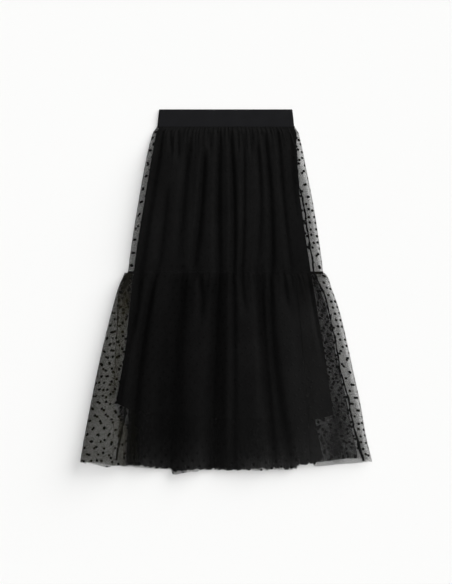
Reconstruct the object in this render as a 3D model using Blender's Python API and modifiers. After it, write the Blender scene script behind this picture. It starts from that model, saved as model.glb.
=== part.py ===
"""Two-tier tulle skirt, laid flat and face up on a table.

A plain elastic waistband carries a gathered upper tier of net, and a wider
lower tier is gathered onto that.  Inside hang a shorter smooth lining and,
inside the lining's hem, a gathered net flounce.  Every piece of cloth is an
open surface lofted through cross-sections of the flattened tube, and a
Solidify modifier gives it its wall.

Frame: +X to the viewer's right, +Y towards the waist, +Z up from the table.
The table is z = 0 and the origin is under the middle of the skirt.
Working sizes below are in millimetres; the meshes are written in metres.
"""

import math
from collections import namedtuple

import bpy

MM = 0.001

# Overall layout
WAIST_Y = 412.5             # y of the waistband's top edge
BAND_HEIGHT = 40.0
TIER_SEAM = 369.0           # below the waistband's top edge
SEAM_GAP = 0.3              # between two pieces that are sewn edge to edge
LAY_GAP = 0.4               # between two panels that lie on each other

# Walls
BAND_WALL = 1.5
NET_WALL = 1.0
LINING_WALL = 1.0

# Heights above the table
BAND_TOP_HEIGHT = 5.6       # the flattened band at its top edge
BAND_FOOT_HEIGHT = 6.6      # and where the net is sewn on
LINING_BACK_TOP = 3.5
LINING_FRONT_TOP = 4.9
LINING_HEM_LIFT = 3.4       # the flounce raises the front lining near its hem
FLOUNCE_BACK_TOP = 4.9
FLOUNCE_BACK_DROP = 2.5     # below the lining's hem the flounce sinks back
FLOUNCE_WAVE = 2.2
FLOUNCE_WAVES = 14
FLOUNCE_START = 640.0
FRONT_FLOOR = LINING_FRONT_TOP + LAY_GAP + NET_WALL

# Gathers
UPPER_GATHERS = 34
LOWER_GATHERS = 31
BACK_GATHERS = 24
GATHER_HEIGHT = 2.2
BACK_GATHER_HEIGHT = 1.2

# Share of the loft that stays in the deepest trough, and that the folds add
NET_BASE = 0.12
NET_FOLDED = 0.88
INNER_BASE = 0.08
INNER_FOLDED = 0.32
INNER_WIDENING = 1.6        # troughs are this much wider in the layers below
NARROWEST_TROUGH = 8.0

# How the upper troughs begin: quickly where they start in the waistband's
# gathers, slowly where they start lower down
BAND_GATHERS_END = 51.0
QUICK_START = 12.0
SLOW_START = 45.0
RUN_OUT_FROM = 0.55         # share of its length where a short trough starts to run out
SEAM_SHARED = 24.0          # this near the tier seam the two tiers share their folds
EVEN_LOFT = 0.72            # share of the loft that stands under the waistband
EVEN_UNTIL = 36.0           # below the waistband's top edge
FOLDED_FROM = 52.0

SEAM_FLAT = 8.0             # level strip beside the right side seam
LEFT_END = -60.0            # the body hides the two margins' heights from each other here
LEFT_PUFF = 0.7             # how much higher the net stands where it turns over on the left
TURN_STEPS = 6

# Side outlines: distance below the waistband's top edge, then the x of the
# left and of the right edge.
Edge = namedtuple("Edge", "down left right")

BAND_EDGES = (
    Edge(0.0, -151.2, 149.5),
    Edge(20.0, -153.4, 151.9),
    Edge(40.0, -155.6, 153.6),
)
UPPER_EDGES = (
    Edge(40.3, -157.0, 155.4),
    Edge(51.5, -164.8, 162.8),
    Edge(78.6, -173.1, 169.9),
    Edge(132.9, -184.6, 180.6),
    Edge(214.2, -198.9, 196.6),
    Edge(295.6, -212.2, 209.7),
    Edge(345.0, -219.0, 216.4),
    Edge(368.7, -221.8, 219.0),
)
LOWER_EDGES = (
    Edge(369.0, -224.0, 221.5),
    Edge(377.0, -231.7, 228.7),
    Edge(404.0, -244.1, 238.2),
    Edge(444.8, -255.6, 252.9),
    Edge(499.0, -269.6, 267.0),
    Edge(580.4, -288.6, 284.6),
    Edge(661.7, -305.3, 302.4),
    Edge(743.1, -320.9, 317.0),
    Edge(794.0, -329.5, 329.4),
)
LINING_EDGES = (
    Edge(41.0, -149.8, 151.0),
    Edge(46.0, -154.0, 156.5),
    Edge(57.2, -159.3, 159.0),
    Edge(75.0, -162.8, 159.8),
    Edge(111.4, -169.2, 160.2),
    Edge(150.0, -175.3, 162.4),
    Edge(204.0, -183.5, 167.5),
    Edge(260.0, -193.0, 175.5),
    Edge(330.6, -203.8, 185.8),
    Edge(439.1, -216.3, 203.2),
    Edge(554.4, -229.4, 222.8),
    Edge(604.0, -237.8, 230.3),
    Edge(689.5, -253.5, 241.8),
)
FLOUNCE_EDGES = (
    Edge(FLOUNCE_START, -217.5, 187.0),
    Edge(674.2, -219.4, 195.0),
    Edge(694.5, -220.6, 199.3),
    Edge(796.2, -226.2, 220.5),
)

# Where the side seams run: x of the left one, on the back, and of the right
# one, on the front.
SeamLine = namedtuple("SeamLine", "down left right")

SEAM_LINES = (
    SeamLine(40.0, -135.0, 139.0),
    SeamLine(60.0, -143.0, 147.0),
    SeamLine(91.0, -150.0, 156.5),
    SeamLine(159.0, -162.0, 165.0),
    SeamLine(204.0, -165.5, 173.0),
    SeamLine(249.0, -168.0, 179.5),
    SeamLine(340.0, -174.0, 193.7),
    SeamLine(369.0, -176.0, 199.0),
    SeamLine(389.0, -184.0, 207.5),
    SeamLine(412.0, -190.0, 219.0),
    SeamLine(465.0, -197.0, 233.0),
    SeamLine(520.0, -202.0, 245.4),
    SeamLine(583.0, -210.0, 256.0),
    SeamLine(645.5, -224.0, 273.0),
    SeamLine(696.0, -229.5, 283.2),
    SeamLine(756.0, -242.5, 298.3),
    SeamLine(794.0, -249.0, 310.0),
)

# Hems: x, then distance below the waistband's top edge.
Hem = namedtuple("Hem", "x down")

FRONT_HEM = (
    Hem(-329.5, 793.9), Hem(-289.0, 795.0), Hem(-255.0, 801.0), Hem(-225.0, 804.5),
    Hem(-171.0, 808.8), Hem(-127.0, 811.8), Hem(-122.5, 813.0), Hem(-118.0, 825.5),
    Hem(-89.5, 820.5), Hem(-87.0, 817.2), Hem(-64.0, 815.8), Hem(-61.5, 812.6),
    Hem(-18.0, 813.4), Hem(136.0, 812.4), Hem(159.5, 810.0), Hem(162.0, 803.5),
    Hem(176.0, 800.0), Hem(226.0, 792.8), Hem(281.0, 786.6), Hem(308.0, 787.0),
    Hem(329.4, 793.9),
)
BACK_HEM = (
    Hem(-329.5, 793.9), Hem(-305.8, 799.0), Hem(-263.0, 808.5), Hem(-258.0, 804.5),
    Hem(-171.0, 805.0), Hem(-81.0, 807.5), Hem(91.0, 807.5), Hem(163.0, 800.0),
    Hem(194.5, 798.0), Hem(197.5, 806.5), Hem(254.7, 801.4), Hem(308.9, 797.2),
    Hem(329.4, 793.9),
)
LINING_HEM = (
    Hem(-253.0, 660.6), Hem(-219.5, 674.2), Hem(-126.0, 688.0), Hem(9.5, 697.0),
    Hem(145.0, 701.5), Hem(198.7, 699.0), Hem(241.8, 689.3),
)
FLOUNCE_HEM = (
    Hem(-226.2, 800.5), Hem(-203.0, 803.0), Hem(-171.0, 807.2), Hem(-150.0, 809.5),
    Hem(-123.0, 811.5), Hem(-117.0, 819.5), Hem(-91.0, 817.0), Hem(-87.5, 811.8),
    Hem(9.5, 811.8), Hem(136.0, 811.0), Hem(159.0, 808.5), Hem(162.0, 802.5),
    Hem(185.0, 799.0), Hem(220.5, 791.0),
)

# Long troughs between the folds of each tier's front: where one starts and
# ends below the waistband's top edge, its x at the start, middle and end, and
# its half width and the share of the loft that it takes away at either end.
# Those that end at one of the THROUGH values run on through the seam or the
# hem; the others run out.
THROUGH = (372.0, 830.0, 850.0)
Trough = namedtuple("Trough", "start end x_start x_middle x_end width_start width_end "
                              "depth_start depth_end")

UPPER_TROUGHS = (
    Trough(41.0, 372.0, -142.5, -170.0, -196.0, 6.5, 9.0, 0.68, 0.50),
    Trough(160.0, 372.0, -134.0, -143.0, -157.0, 8.0, 9.0, 0.30, 0.60),
    Trough(51.0, 400.0, -82.0, -100.0, -113.0, 5.5, 14.0, 0.80, 0.62),
    Trough(340.0, 372.0, -100.0, -100.0, -100.0, 9.0, 11.0, 0.10, 0.80),
    Trough(78.0, 372.0, -50.0, -59.0, -77.0, 6.0, 9.5, 0.85, 0.92),
    Trough(41.0, 372.0, -15.0, -19.5, -18.0, 5.5, 11.0, 0.76, 0.88),
    Trough(41.0, 372.0, 6.0, 16.0, 14.0, 5.5, 7.5, 0.58, 0.74),
    Trough(50.0, 372.0, 38.0, 39.0, 34.0, 5.0, 6.0, 0.40, 0.48),
    Trough(62.0, 372.0, 66.0, 76.0, 66.0, 5.5, 7.0, 0.60, 0.32),
    Trough(48.0, 372.0, 84.0, 99.0, 101.0, 5.5, 8.0, 0.66, 0.86),
    Trough(44.0, 372.0, 115.5, 128.5, 146.0, 5.5, 6.5, 0.80, 0.38),
    Trough(44.0, 300.0, 147.0, 153.0, 172.0, 5.0, 7.0, 0.85, 0.55),
)
LOWER_TROUGHS = (
    Trough(366.0, 560.0, -195.0, -206.0, -227.0, 7.0, 9.0, 0.62, 0.45),
    Trough(366.0, 830.0, -160.0, -200.0, -216.0, 7.0, 16.0, 0.75, 0.66),
    Trough(366.0, 830.0, -118.0, -142.0, -150.0, 12.0, 18.0, 0.40, 0.50),
    Trough(366.0, 830.0, -97.0, -123.0, -131.0, 19.0, 27.0, 0.92, 0.86),
    Trough(366.0, 500.0, -64.0, -56.0, -66.0, 7.0, 9.0, 0.62, 0.40),
    Trough(366.0, 850.0, -18.0, -29.0, -28.0, 10.0, 25.0, 0.99, 0.95),
    Trough(366.0, 850.0, -8.0, -10.0, -8.0, 13.0, 18.0, 0.35, 0.40),
    Trough(366.0, 850.0, 15.0, 16.0, 15.0, 7.0, 10.0, 0.62, 0.52),
    Trough(366.0, 480.0, 33.0, 38.0, 46.0, 6.0, 7.0, 0.50, 0.30),
    Trough(366.0, 800.0, 66.0, 84.0, 100.0, 6.0, 17.0, 0.72, 0.80),
    Trough(366.0, 850.0, 78.0, 92.0, 112.0, 8.0, 12.0, 0.75, 0.50),
    Trough(366.0, 850.0, 99.0, 111.0, 157.0, 6.0, 17.0, 0.70, 0.62),
    Trough(366.0, 470.0, 128.0, 133.0, 142.0, 5.0, 8.0, 0.50, 0.35),
    Trough(366.0, 600.0, 184.0, 203.0, 224.0, 5.0, 6.0, 0.70, 0.50),
)

# How far the front lofts above what lies under it, and how high the net
# stands where it turns over at the two sides.
Loft = namedtuple("Loft", "down height fold")

LOFTS = (
    Loft(40.0, 2.0, 6.6),
    Loft(58.0, 8.0, 9.5),
    Loft(90.0, 13.5, 13.0),
    Loft(160.0, 16.0, 16.0),
    Loft(280.0, 16.0, 16.0),
    Loft(345.0, 13.0, 14.5),
    Loft(369.0, 11.0, 13.5),
    Loft(400.0, 14.0, 16.0),
    Loft(480.0, 17.0, 17.5),
    Loft(620.0, 17.0, 18.0),
    Loft(740.0, 15.5, 17.5),
    Loft(815.0, 13.0, 16.5),
)

# Rows of each tier, as distances below its top seam; the first ones carry
# every gather column, the later ones every second column.  Front and back
# share them, so the two sides of a seam stay parallel.
UPPER_ROWS = (0.0, 5.0, 11.0, 22.0, 42.0, 85.0, 140.0, 200.0, 260.0, 305.0, 328.4)
LOWER_ROWS = (0.0, 5.0, 11.0, 22.0, 42.0, 90.0, 150.0, 215.0, 280.0, 345.0, 405.0, 440.0)
FINE_ROWS = 4

# Rows of the lining, below the waistband's top edge; its hem comes after them.
# They match the net's rows, so the two layers bend at the same places.
LINING_ROWS = (41.0, 51.0, 62.0, 82.0, 125.0, 180.0, 240.0, 300.0, 345.0, 369.0, 391.0, 411.0,
               459.0, 519.0, 584.0, 630.0)
LINING_COLUMNS = 36
FLOUNCE_ROWS = (640.0, 676.0, 705.0, 740.0, 774.0)

Tier = namedtuple("Tier", "top length edges troughs gathers phase")

UPPER = Tier(BAND_HEIGHT + SEAM_GAP, 328.4, UPPER_EDGES, UPPER_TROUGHS, UPPER_GATHERS, 0.7)
LOWER = Tier(TIER_SEAM, 440.0, LOWER_EDGES, LOWER_TROUGHS, LOWER_GATHERS, 2.9)

Column = namedtuple("Column", "part along wave")


def smoothstep(start, end, value):
    """Rise smoothly from 0 at start to 1 at end."""
    t = min(max((value - start) / (end - start), 0.0), 1.0)
    return t * t * (3.0 - 2.0 * t)


def read_table(table, key, column, value):
    """Read one column of a table between its rows, held level past its ends."""
    if value <= getattr(table[0], key):
        return getattr(table[0], column)
    for low, high in zip(table, table[1:]):
        start = getattr(low, key)
        end = getattr(high, key)
        if value <= end:
            share = (value - start) / (end - start)
            return getattr(low, column) * (1.0 - share) + getattr(high, column) * share
    return getattr(table[-1], column)


def edges_at(edges, down):
    """The x of the left and right edge at a distance below the top."""
    return read_table(edges, "down", "left", down), read_table(edges, "down", "right", down)


def fold_height(down):
    """Outer height of the net where it turns over at the right side."""
    return read_table(LOFTS, "down", "fold", down)


def left_fold(down):
    """The same on the left, where the net stands higher."""
    return fold_height(down) * (1.0 + LEFT_PUFF * smoothstep(50.0, 110.0, down))


def flat_span(tier, down):
    """Where the flat width between the two side turns starts, and that width."""
    left, right = edges_at(tier.edges, down)
    low = left + left_fold(down) / 2.0
    return low, right - fold_height(down) / 2.0 - low


def uneven_places(count, phase):
    """Places from 0 to 1 of count + 1 gathers whose spacing wanders."""
    gaps = [1.0 + 0.32 * math.sin(2.4 * k + phase) + 0.18 * math.sin(5.3 * k + 2.0 * phase)
            for k in range(count)]
    total = sum(gaps)
    places = [0.0]
    for gap in gaps:
        places.append(places[-1] + gap / total)
    return places


def gather_columns(part, count, per_gather, phase):
    """Columns across a panel: per_gather columns from one crest to the next."""
    places = uneven_places(count, phase)
    columns = []
    for low, high in zip(places, places[1:]):
        for step in range(per_gather):
            share = step / per_gather
            wave = math.cos(2.0 * math.pi * share)
            columns.append(Column(part, low + (high - low) * share, wave))
    columns.append(Column(part, 1.0, 1.0))
    return columns


def plain_columns(part, count):
    """Evenly spaced columns without gathers."""
    return [Column(part, step / count, -1.0) for step in range(count + 1)]


def turn_columns(part):
    """The half circle at a side fold, without the two ends it shares."""
    return [Column(part, step / TURN_STEPS, 0.0) for step in range(1, TURN_STEPS)]


def gather_height(tier, down):
    """Height of a front gather: small in the seam, full just below, then fading."""
    below = down - tier.top
    return GATHER_HEIGHT * (0.35 + 0.65 * smoothstep(0.0, 8.0, below)) * (
        1.0 - 0.9 * smoothstep(18.0, 85.0, below))


def back_gather_height(tier, down):
    """Height of a back gather, pressed flat within four centimetres."""
    return BACK_GATHER_HEIGHT * (1.0 - smoothstep(12.0, 38.0, down - tier.top))


def front_floor(down):
    """Lowest top surface that the net's front can have over what it covers."""
    lift = LINING_HEM_LIFT * smoothstep(500.0, 620.0, down)
    return FRONT_FLOOR + lift - 1.6 * smoothstep(730.0, 780.0, down)


def trough_x(trough, share):
    """x along a trough: a curve through its start, middle and end."""
    start = trough.x_start * (1.0 - share) * (1.0 - 2.0 * share)
    middle = trough.x_middle * 4.0 * share * (1.0 - share)
    end = trough.x_end * share * (2.0 * share - 1.0)
    return start + middle + end


def loft_left(tier, x, down, widening=1.0):
    """Share of the loft that one tier's troughs leave standing at one place."""
    left = 1.0
    for trough in tier.troughs:
        share = (down - trough.start) / (trough.end - trough.start)
        if share <= 0.0 and tier is UPPER:
            continue
        reach = QUICK_START if trough.start < BAND_GATHERS_END else SLOW_START
        fade_in = smoothstep(0.0, reach, down - trough.start) if tier is UPPER else 1.0
        fade_out = 1.0 if trough.end in THROUGH else 1.0 - smoothstep(RUN_OUT_FROM, 1.0, share)
        share = min(max(share, 0.0), 1.0)
        width = trough.width_start + (trough.width_end - trough.width_start) * share
        width = max(width, NARROWEST_TROUGH) * widening
        depth = trough.depth_start + (trough.depth_end - trough.depth_start) * share
        away = (x - trough_x(trough, share)) / width
        left *= 1.0 - depth * fade_in * fade_out * math.exp(-away * away)
    return left


def folds_left(tier, x, down, widening=1.0):
    """Share of the loft that stays: even at the waistband, shared at the tier seam."""
    left = loft_left(tier, x, down, widening)
    away = smoothstep(0.0, SEAM_SHARED, abs(down - TIER_SEAM))
    if away < 1.0:
        shared = 0.5 * (loft_left(UPPER, x, TIER_SEAM, widening)
                        + loft_left(LOWER, x, TIER_SEAM, widening))
        left = shared + (left - shared) * away
    return EVEN_LOFT + (left - EVEN_LOFT) * smoothstep(EVEN_UNTIL, FOLDED_FROM, down)


def swell(x, down):
    """Slow unevenness of the loft from ridge to ridge."""
    return (0.86 + 0.10 * math.sin(x / 27.0 + down / 210.0)
            + 0.07 * math.sin(x / 11.5 - down / 160.0))


def body_edges(down):
    """Side edges of the inner layers: the lining, and below it the flounce."""
    left, right = edges_at(LINING_EDGES, down)
    flounce_left, flounce_right = edges_at(FLOUNCE_EDGES, down)
    below = smoothstep(660.0, 720.0, down)
    return left + (flounce_left - left) * below, right + (flounce_right - right) * below


def full_loft(x, down):
    """Loft of the body before the troughs are taken out of it."""
    left, right = body_edges(down)
    away = (x - (left + right) / 2.0) / (right - left) * 2.0
    dome = 1.0 - 0.12 * away * away - 0.10 * away
    return read_table(LOFTS, "down", "height", down) * swell(x, down) * dome


def flank(distance, reach):
    """Rise of the body's flank, from 0 at its foot to 1 where the reach is used up."""
    t = min(max(distance / reach, 0.0), 1.0)
    return 0.55 * (1.0 - (1.0 - t) ** 2) + 0.45 * t * t * (3.0 - 2.0 * t)


def net_share(tier, x, down):
    """How far the net's front has come from the margin's height to the body's."""
    low, _ = flat_span(tier, down)
    left, right = body_edges(down)
    seam_x = read_table(SEAM_LINES, "down", "right", down)
    left_out = min(max(left - low, 4.0), 42.0)
    right_out = min(max(seam_x - SEAM_FLAT - right, 4.0), 24.0)
    return (flank(x - left + left_out, left_out + 14.0)
            * flank(right + right_out - x, right_out + 44.0))


def front_height(tier, x, down, wave):
    """Top surface of the net's front."""
    low, _ = flat_span(tier, down)
    seam_x = read_table(SEAM_LINES, "down", "right", down)
    near_fold = smoothstep(0.0, 9.0, min(x - low, seam_x - SEAM_FLAT - x))
    margin = left_fold(down) if x < LEFT_END else fold_height(down)
    folds = NET_BASE + NET_FOLDED * folds_left(tier, x, down)
    body = front_floor(down) + full_loft(x, down) * folds
    height = margin + (body - margin) * net_share(tier, x, down)
    return height + gather_height(tier, down) * 0.5 * (1.0 + wave) * near_fold


def inner_loft(x, down):
    """Loft of the lining and the flounce under the net, with softer folds."""
    left = folds_left(UPPER if down < TIER_SEAM else LOWER, x, down, INNER_WIDENING)
    return full_loft(x, down) * (INNER_BASE + INNER_FOLDED * left)


def net_point(tier, column, down):
    """One point of the flattened net tube's outer surface."""
    turn = (left_fold(down) if column.part == "left turn" else fold_height(down)) / 2.0
    low, width = flat_span(tier, down)
    left_seam = read_table(SEAM_LINES, "down", "left", down)
    right_seam = read_table(SEAM_LINES, "down", "right", down)
    if column.part == "left turn":
        angle = math.pi * (column.along - 0.5)
        return low - turn * math.cos(angle), turn + turn * math.sin(angle)
    if column.part == "right turn":
        angle = math.pi * (0.5 - column.along)
        return low + width + turn * math.cos(angle), turn + turn * math.sin(angle)
    if column.part == "front":
        x = low + (right_seam - low) * column.along
        return x, front_height(tier, x, down, column.wave)
    if column.part == "front beyond seam":
        start = right_seam + SEAM_GAP
        x = start + (low + width - start) * column.along
        return x, front_height(tier, x, down, column.wave)
    if column.part == "back beyond seam":
        return left_seam + (low - left_seam) * column.along, 0.0
    end = left_seam + SEAM_GAP
    x = low + width + (end - low - width) * column.along
    ends = smoothstep(0.0, 0.03, column.along) * smoothstep(0.0, 0.03, 1.0 - column.along)
    return x, back_gather_height(tier, down) * 0.5 * (1.0 + column.wave) * ends


def hem_end(tier, column):
    """How far down a column of a tier runs."""
    if tier is UPPER:
        return tier.top + tier.length
    x, _ = net_point(tier, column, LOWER_EDGES[-1].down)
    hem = FRONT_HEM if column.part.startswith("front") else BACK_HEM
    return read_table(hem, "x", "down", x)


def net_rows(tier, columns, rows):
    """Rows of points of a net panel, each column ending on its hem."""
    ends = [hem_end(tier, column) for column in columns]
    points = []
    for row in rows:
        line = []
        for column, end in zip(columns, ends):
            down = tier.top + (end - tier.top) * row / rows[-1]
            x, z = net_point(tier, column, down)
            line.append((x, WAIST_Y - down, z))
        points.append(line)
    return points


def loft_faces(row_count, column_count, fine_rows, closed):
    """Faces between rows of points; past the fine rows every second column is used."""
    faces = []
    for row in range(row_count - 1):
        above = row * column_count
        below = above + column_count
        fine_above = row < fine_rows
        fine_below = row + 1 < fine_rows or fine_rows >= row_count
        step = 1 if fine_below or (fine_above and fine_rows >= row_count) else 2
        span = column_count if closed else column_count - 1
        for start in range(0, span, step):
            end = (start + step) % column_count
            if step == 2 and fine_above:
                middle = start + 1
                faces.append((above + start, below + start, above + middle))
                faces.append((above + middle, below + start, below + end))
                faces.append((above + middle, below + end, above + end))
            else:
                faces.append((above + start, below + start, below + end))
                faces.append((above + start, below + end, above + end))
    return faces


def make_material(name, color, roughness):
    """A plain Principled cloth material."""
    material = bpy.data.materials.new(name)
    material.use_nodes = True
    shader = material.node_tree.nodes["Principled BSDF"]
    shader.inputs["Base Color"].default_value = (*color, 1.0)
    shader.inputs["Roughness"].default_value = roughness
    shader.inputs["Metallic"].default_value = 0.0
    material.diffuse_color = (*color, 1.0)
    return material


def make_cloth(name, rows, wall, material, collection, fine_rows=None, closed=False):
    """A lofted surface with a Solidify wall on its inner side."""
    column_count = len(rows[0])
    fine_rows = len(rows) if fine_rows is None else fine_rows
    faces = loft_faces(len(rows), column_count, fine_rows, closed)
    used = sorted({index for face in faces for index in face})
    renumber = {old: new for new, old in enumerate(used)}
    flat = [point for row in rows for point in row]
    vertices = [tuple(value * MM for value in flat[index]) for index in used]
    mesh = bpy.data.meshes.new(name)
    mesh.from_pydata(vertices, [], [[renumber[index] for index in face] for face in faces])
    mesh.materials.append(material)
    mesh.validate()
    mesh.shade_smooth()
    mesh.set_sharp_from_angle(angle=math.radians(50.0))
    cloth = bpy.data.objects.new(name, mesh)
    collection.objects.link(cloth)
    solidify = cloth.modifiers.new("Wall", "SOLIDIFY")
    solidify.thickness = wall * MM
    solidify.offset = -1.0
    solidify.use_even_offset = True
    solidify.thickness_clamp = 0.0
    return cloth


def band_rows():
    """The elastic waistband: a flattened ring, seen as closed sections."""
    rows = []
    for down in (0.0, 14.0, 27.0, BAND_HEIGHT - SEAM_GAP):
        left, right = edges_at(BAND_EDGES, down)
        height = BAND_TOP_HEIGHT + (BAND_FOOT_HEIGHT - BAND_TOP_HEIGHT) * down / BAND_HEIGHT
        turn = height / 2.0
        line = []
        for step in range(20):
            x = left + turn + (right - left - height) * step / 20
            ripple = 0.12 * math.sin(x / 9.0) * math.sin(math.pi * step / 20)
            line.append((x, height + ripple))
        for step in range(TURN_STEPS):
            angle = math.pi * (0.5 - step / TURN_STEPS)
            line.append((right - turn + turn * math.cos(angle), turn + turn * math.sin(angle)))
        for step in range(12):
            line.append((right - turn - (right - left - height) * step / 12, 0.0))
        for step in range(TURN_STEPS):
            angle = math.pi * (step / TURN_STEPS - 0.5)
            line.append((left + turn - turn * math.cos(angle), turn + turn * math.sin(angle)))
        rows.append([(x, WAIST_Y - down, z) for x, z in line])
    return rows


def inner_rows(edges, hem, columns, downs, top_height):
    """Rows of an inner panel between its side edges, the last one on its hem."""
    low, high = edges_at(edges, edges[-1].down)
    ends = [read_table(hem, "x", "down", low + (high - low) * column.along)
            for column in columns]
    rows = []
    for down in (*downs, None):
        line = []
        for column, end in zip(columns, ends):
            at = end if down is None else down
            left, right = edges_at(edges, at)
            x = left + (right - left) * column.along
            line.append((x, WAIST_Y - at, top_height(x, at, column.wave)))
        rows.append(line)
    return rows


def lining_back_height(x, down, wave):
    """Top of the back lining: level."""
    return LINING_BACK_TOP


def lining_front_height(x, down, wave):
    """Top of the front lining, which the flounce lifts near the hem."""
    left, right = edges_at(LINING_EDGES, down)
    share = smoothstep(0.0, 14.0, x - left) * flank(right - x, 44.0)
    lift = LINING_HEM_LIFT * smoothstep(520.0, 640.0, down)
    return LINING_FRONT_TOP + lift + inner_loft(x, down) * share


def flounce_back_height(x, down, wave):
    """Top of the flounce's back, which sinks once the lining has ended."""
    return FLOUNCE_BACK_TOP - FLOUNCE_BACK_DROP * smoothstep(715.0, 765.0, down)


def flounce_front_height(x, down, wave):
    """Top of the flounce's front, with its gathered waves."""
    left, right = edges_at(FLOUNCE_EDGES, down)
    share = smoothstep(0.0, 14.0, x - left) * smoothstep(0.0, 14.0, right - x)
    rise = FLOUNCE_WAVE * smoothstep(705.0, 785.0, down) * 0.5 * (1.0 + wave)
    base = flounce_back_height(x, down, wave) + LAY_GAP + NET_WALL
    return base + rise + inner_loft(x, down) * share


def build():
    """Clear the scene and build every piece of the skirt."""
    for item in list(bpy.data.objects):
        bpy.data.objects.remove(item, do_unlink=True)
    skirt = bpy.data.collections.new("tulle_skirt")
    bpy.context.scene.collection.children.link(skirt)

    elastic = make_material("elastic", (0.012, 0.012, 0.014), 0.75)
    net = make_material("net", (0.008, 0.008, 0.009), 0.85)
    lining = make_material("lining", (0.006, 0.006, 0.006), 0.55)

    make_cloth("waistband", band_rows(), BAND_WALL, elastic, skirt, closed=True)

    for label, tier, rows in (("upper", UPPER, UPPER_ROWS), ("lower", LOWER, LOWER_ROWS)):
        front = plain_columns("back beyond seam", 4)
        front += turn_columns("left turn")
        front += gather_columns("front", tier.gathers, 4, tier.phase)
        make_cloth(label + "_front", net_rows(tier, front, rows), NET_WALL, net, skirt, FINE_ROWS)
        back = plain_columns("front beyond seam", 2)
        back += turn_columns("right turn")
        back += gather_columns("back", BACK_GATHERS, 2, tier.phase + 1.3)
        make_cloth(label + "_back", net_rows(tier, back, rows), NET_WALL, net, skirt, FINE_ROWS)

    for name, count, height in (("lining_back", 6, lining_back_height),
                                ("lining_front", LINING_COLUMNS, lining_front_height)):
        columns = plain_columns("inner", count)
        rows = inner_rows(LINING_EDGES, LINING_HEM, columns, LINING_ROWS, height)
        make_cloth(name, rows, LINING_WALL, lining, skirt)

    flat = plain_columns("inner", 14)
    waves = gather_columns("inner", FLOUNCE_WAVES, 4, 1.9)
    for name, columns, height in (("flounce_back", flat, flounce_back_height),
                                  ("flounce_front", waves, flounce_front_height)):
        rows = inner_rows(FLOUNCE_EDGES, FLOUNCE_HEM, columns, FLOUNCE_ROWS, height)
        make_cloth(name, rows, NET_WALL, net, skirt)


build()
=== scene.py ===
import math
from collections import namedtuple

import bpy
import numpy as np
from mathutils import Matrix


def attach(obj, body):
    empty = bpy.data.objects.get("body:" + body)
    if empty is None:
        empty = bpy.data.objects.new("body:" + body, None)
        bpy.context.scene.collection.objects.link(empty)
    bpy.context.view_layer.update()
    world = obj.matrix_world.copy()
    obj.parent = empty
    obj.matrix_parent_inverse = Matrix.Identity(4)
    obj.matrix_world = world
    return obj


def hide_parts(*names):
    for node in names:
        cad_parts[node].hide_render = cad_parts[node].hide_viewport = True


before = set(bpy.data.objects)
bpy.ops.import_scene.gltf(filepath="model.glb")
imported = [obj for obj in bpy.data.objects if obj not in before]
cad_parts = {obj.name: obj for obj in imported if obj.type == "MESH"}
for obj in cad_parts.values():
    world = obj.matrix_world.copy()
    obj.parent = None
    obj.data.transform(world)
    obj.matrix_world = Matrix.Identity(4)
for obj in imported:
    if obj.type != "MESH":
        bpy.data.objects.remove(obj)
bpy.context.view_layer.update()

# A two-tier tulle skirt, laid flat and face up.  The net's four panels, the lining, the flounce
# and the waistband are thin sheets on the forms of their solids, with dots and seams on them.
# x runs across the skirt, y towards the waist and z up from the table.  Places on the skirt are
# given as x and as "down", the distance below the waistband's top edge.
# Sizes are in millimetres unless a name says otherwise; meshes are written in metres.
MM = 0.001
WAIST_Y = 412.5             # y of the waistband's top edge
BAND_HEIGHT = 40.0
BAND_TOP_HEIGHT = 5.6       # the flattened band at its top edge
BAND_FOOT_HEIGHT = 6.6      # and where the net is sewn on
BAND_WALL = 1.4
TIER_SEAM = 369.0
HEM_CORNER = 794.0          # down, where the hem meets the two sides
SHEET_INSET = 0.5           # the thin visible sheet lies in the middle of its solid's wall
SEAM_GAP = 0.3              # between two panels that are sewn edge to edge
LAY_GAP = 0.4               # between two panels that lie on each other
NET_WALL = 1.0
LINING_BACK_TOP = 3.5
LINING_FRONT_TOP = 4.9
LINING_INSET = 0.45         # the front lining's sheet under its solid's top
LINING_HEM_LIFT = 3.4       # the flounce raises the front lining near its hem
FLOUNCE_BACK_TOP = 4.9
FLOUNCE_BACK_DROP = 2.5     # below the lining's hem the flounce sinks back
FLOUNCE_WAVE = 1.6
FLOUNCE_WAVES = 14
FRONT_FLOOR = LINING_FRONT_TOP + LAY_GAP + NET_WALL
SEAM_FLAT = 8.0             # level strip beside the right side seam
PLEAT_DEPTH = 1.3           # from the top one of a pleat's three layers to the lowest
PLEAT_OPEN = 5.0            # width from which the left pleat has its full depth
PLEAT_RISE = 0.09           # share of the front over which it comes up from under that pleat
LEFT_PUFF = 0.7             # how much higher the net stands where it turns over on the left
MARGIN_SPLIT = -60.0        # x left of which the left margin's height counts; the body hides it
LEFT_FLANK = 42.0           # how far outside the body its flank may start
RIGHT_FLANK = 24.0
LEFT_SHOULDER = 14.0        # how far inside the body it has its full height
RIGHT_SHOULDER = 44.0

# Shares of the loft: what stays in the deepest trough, and what the folds add to it
NET_LOFT = (0.12, 0.88)
INNER_LOFT = (0.10, 0.52)
EVEN_LOFT = 0.72            # share of the loft that stands under the waistband
EVEN_UNTIL = 36.0           # down
FOLDED_FROM = 52.0          # down
SEAM_SHARED = 24.0          # this near the tier seam the two tiers share their folds

# How the upper troughs begin: quickly where they start in the waistband's gathers
BAND_GATHERS_END = 51.0
QUICK_START = 12.0
SLOW_START = 45.0
RUN_OUT_FROM = 0.55         # share of its length where a short trough starts to run out

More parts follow.
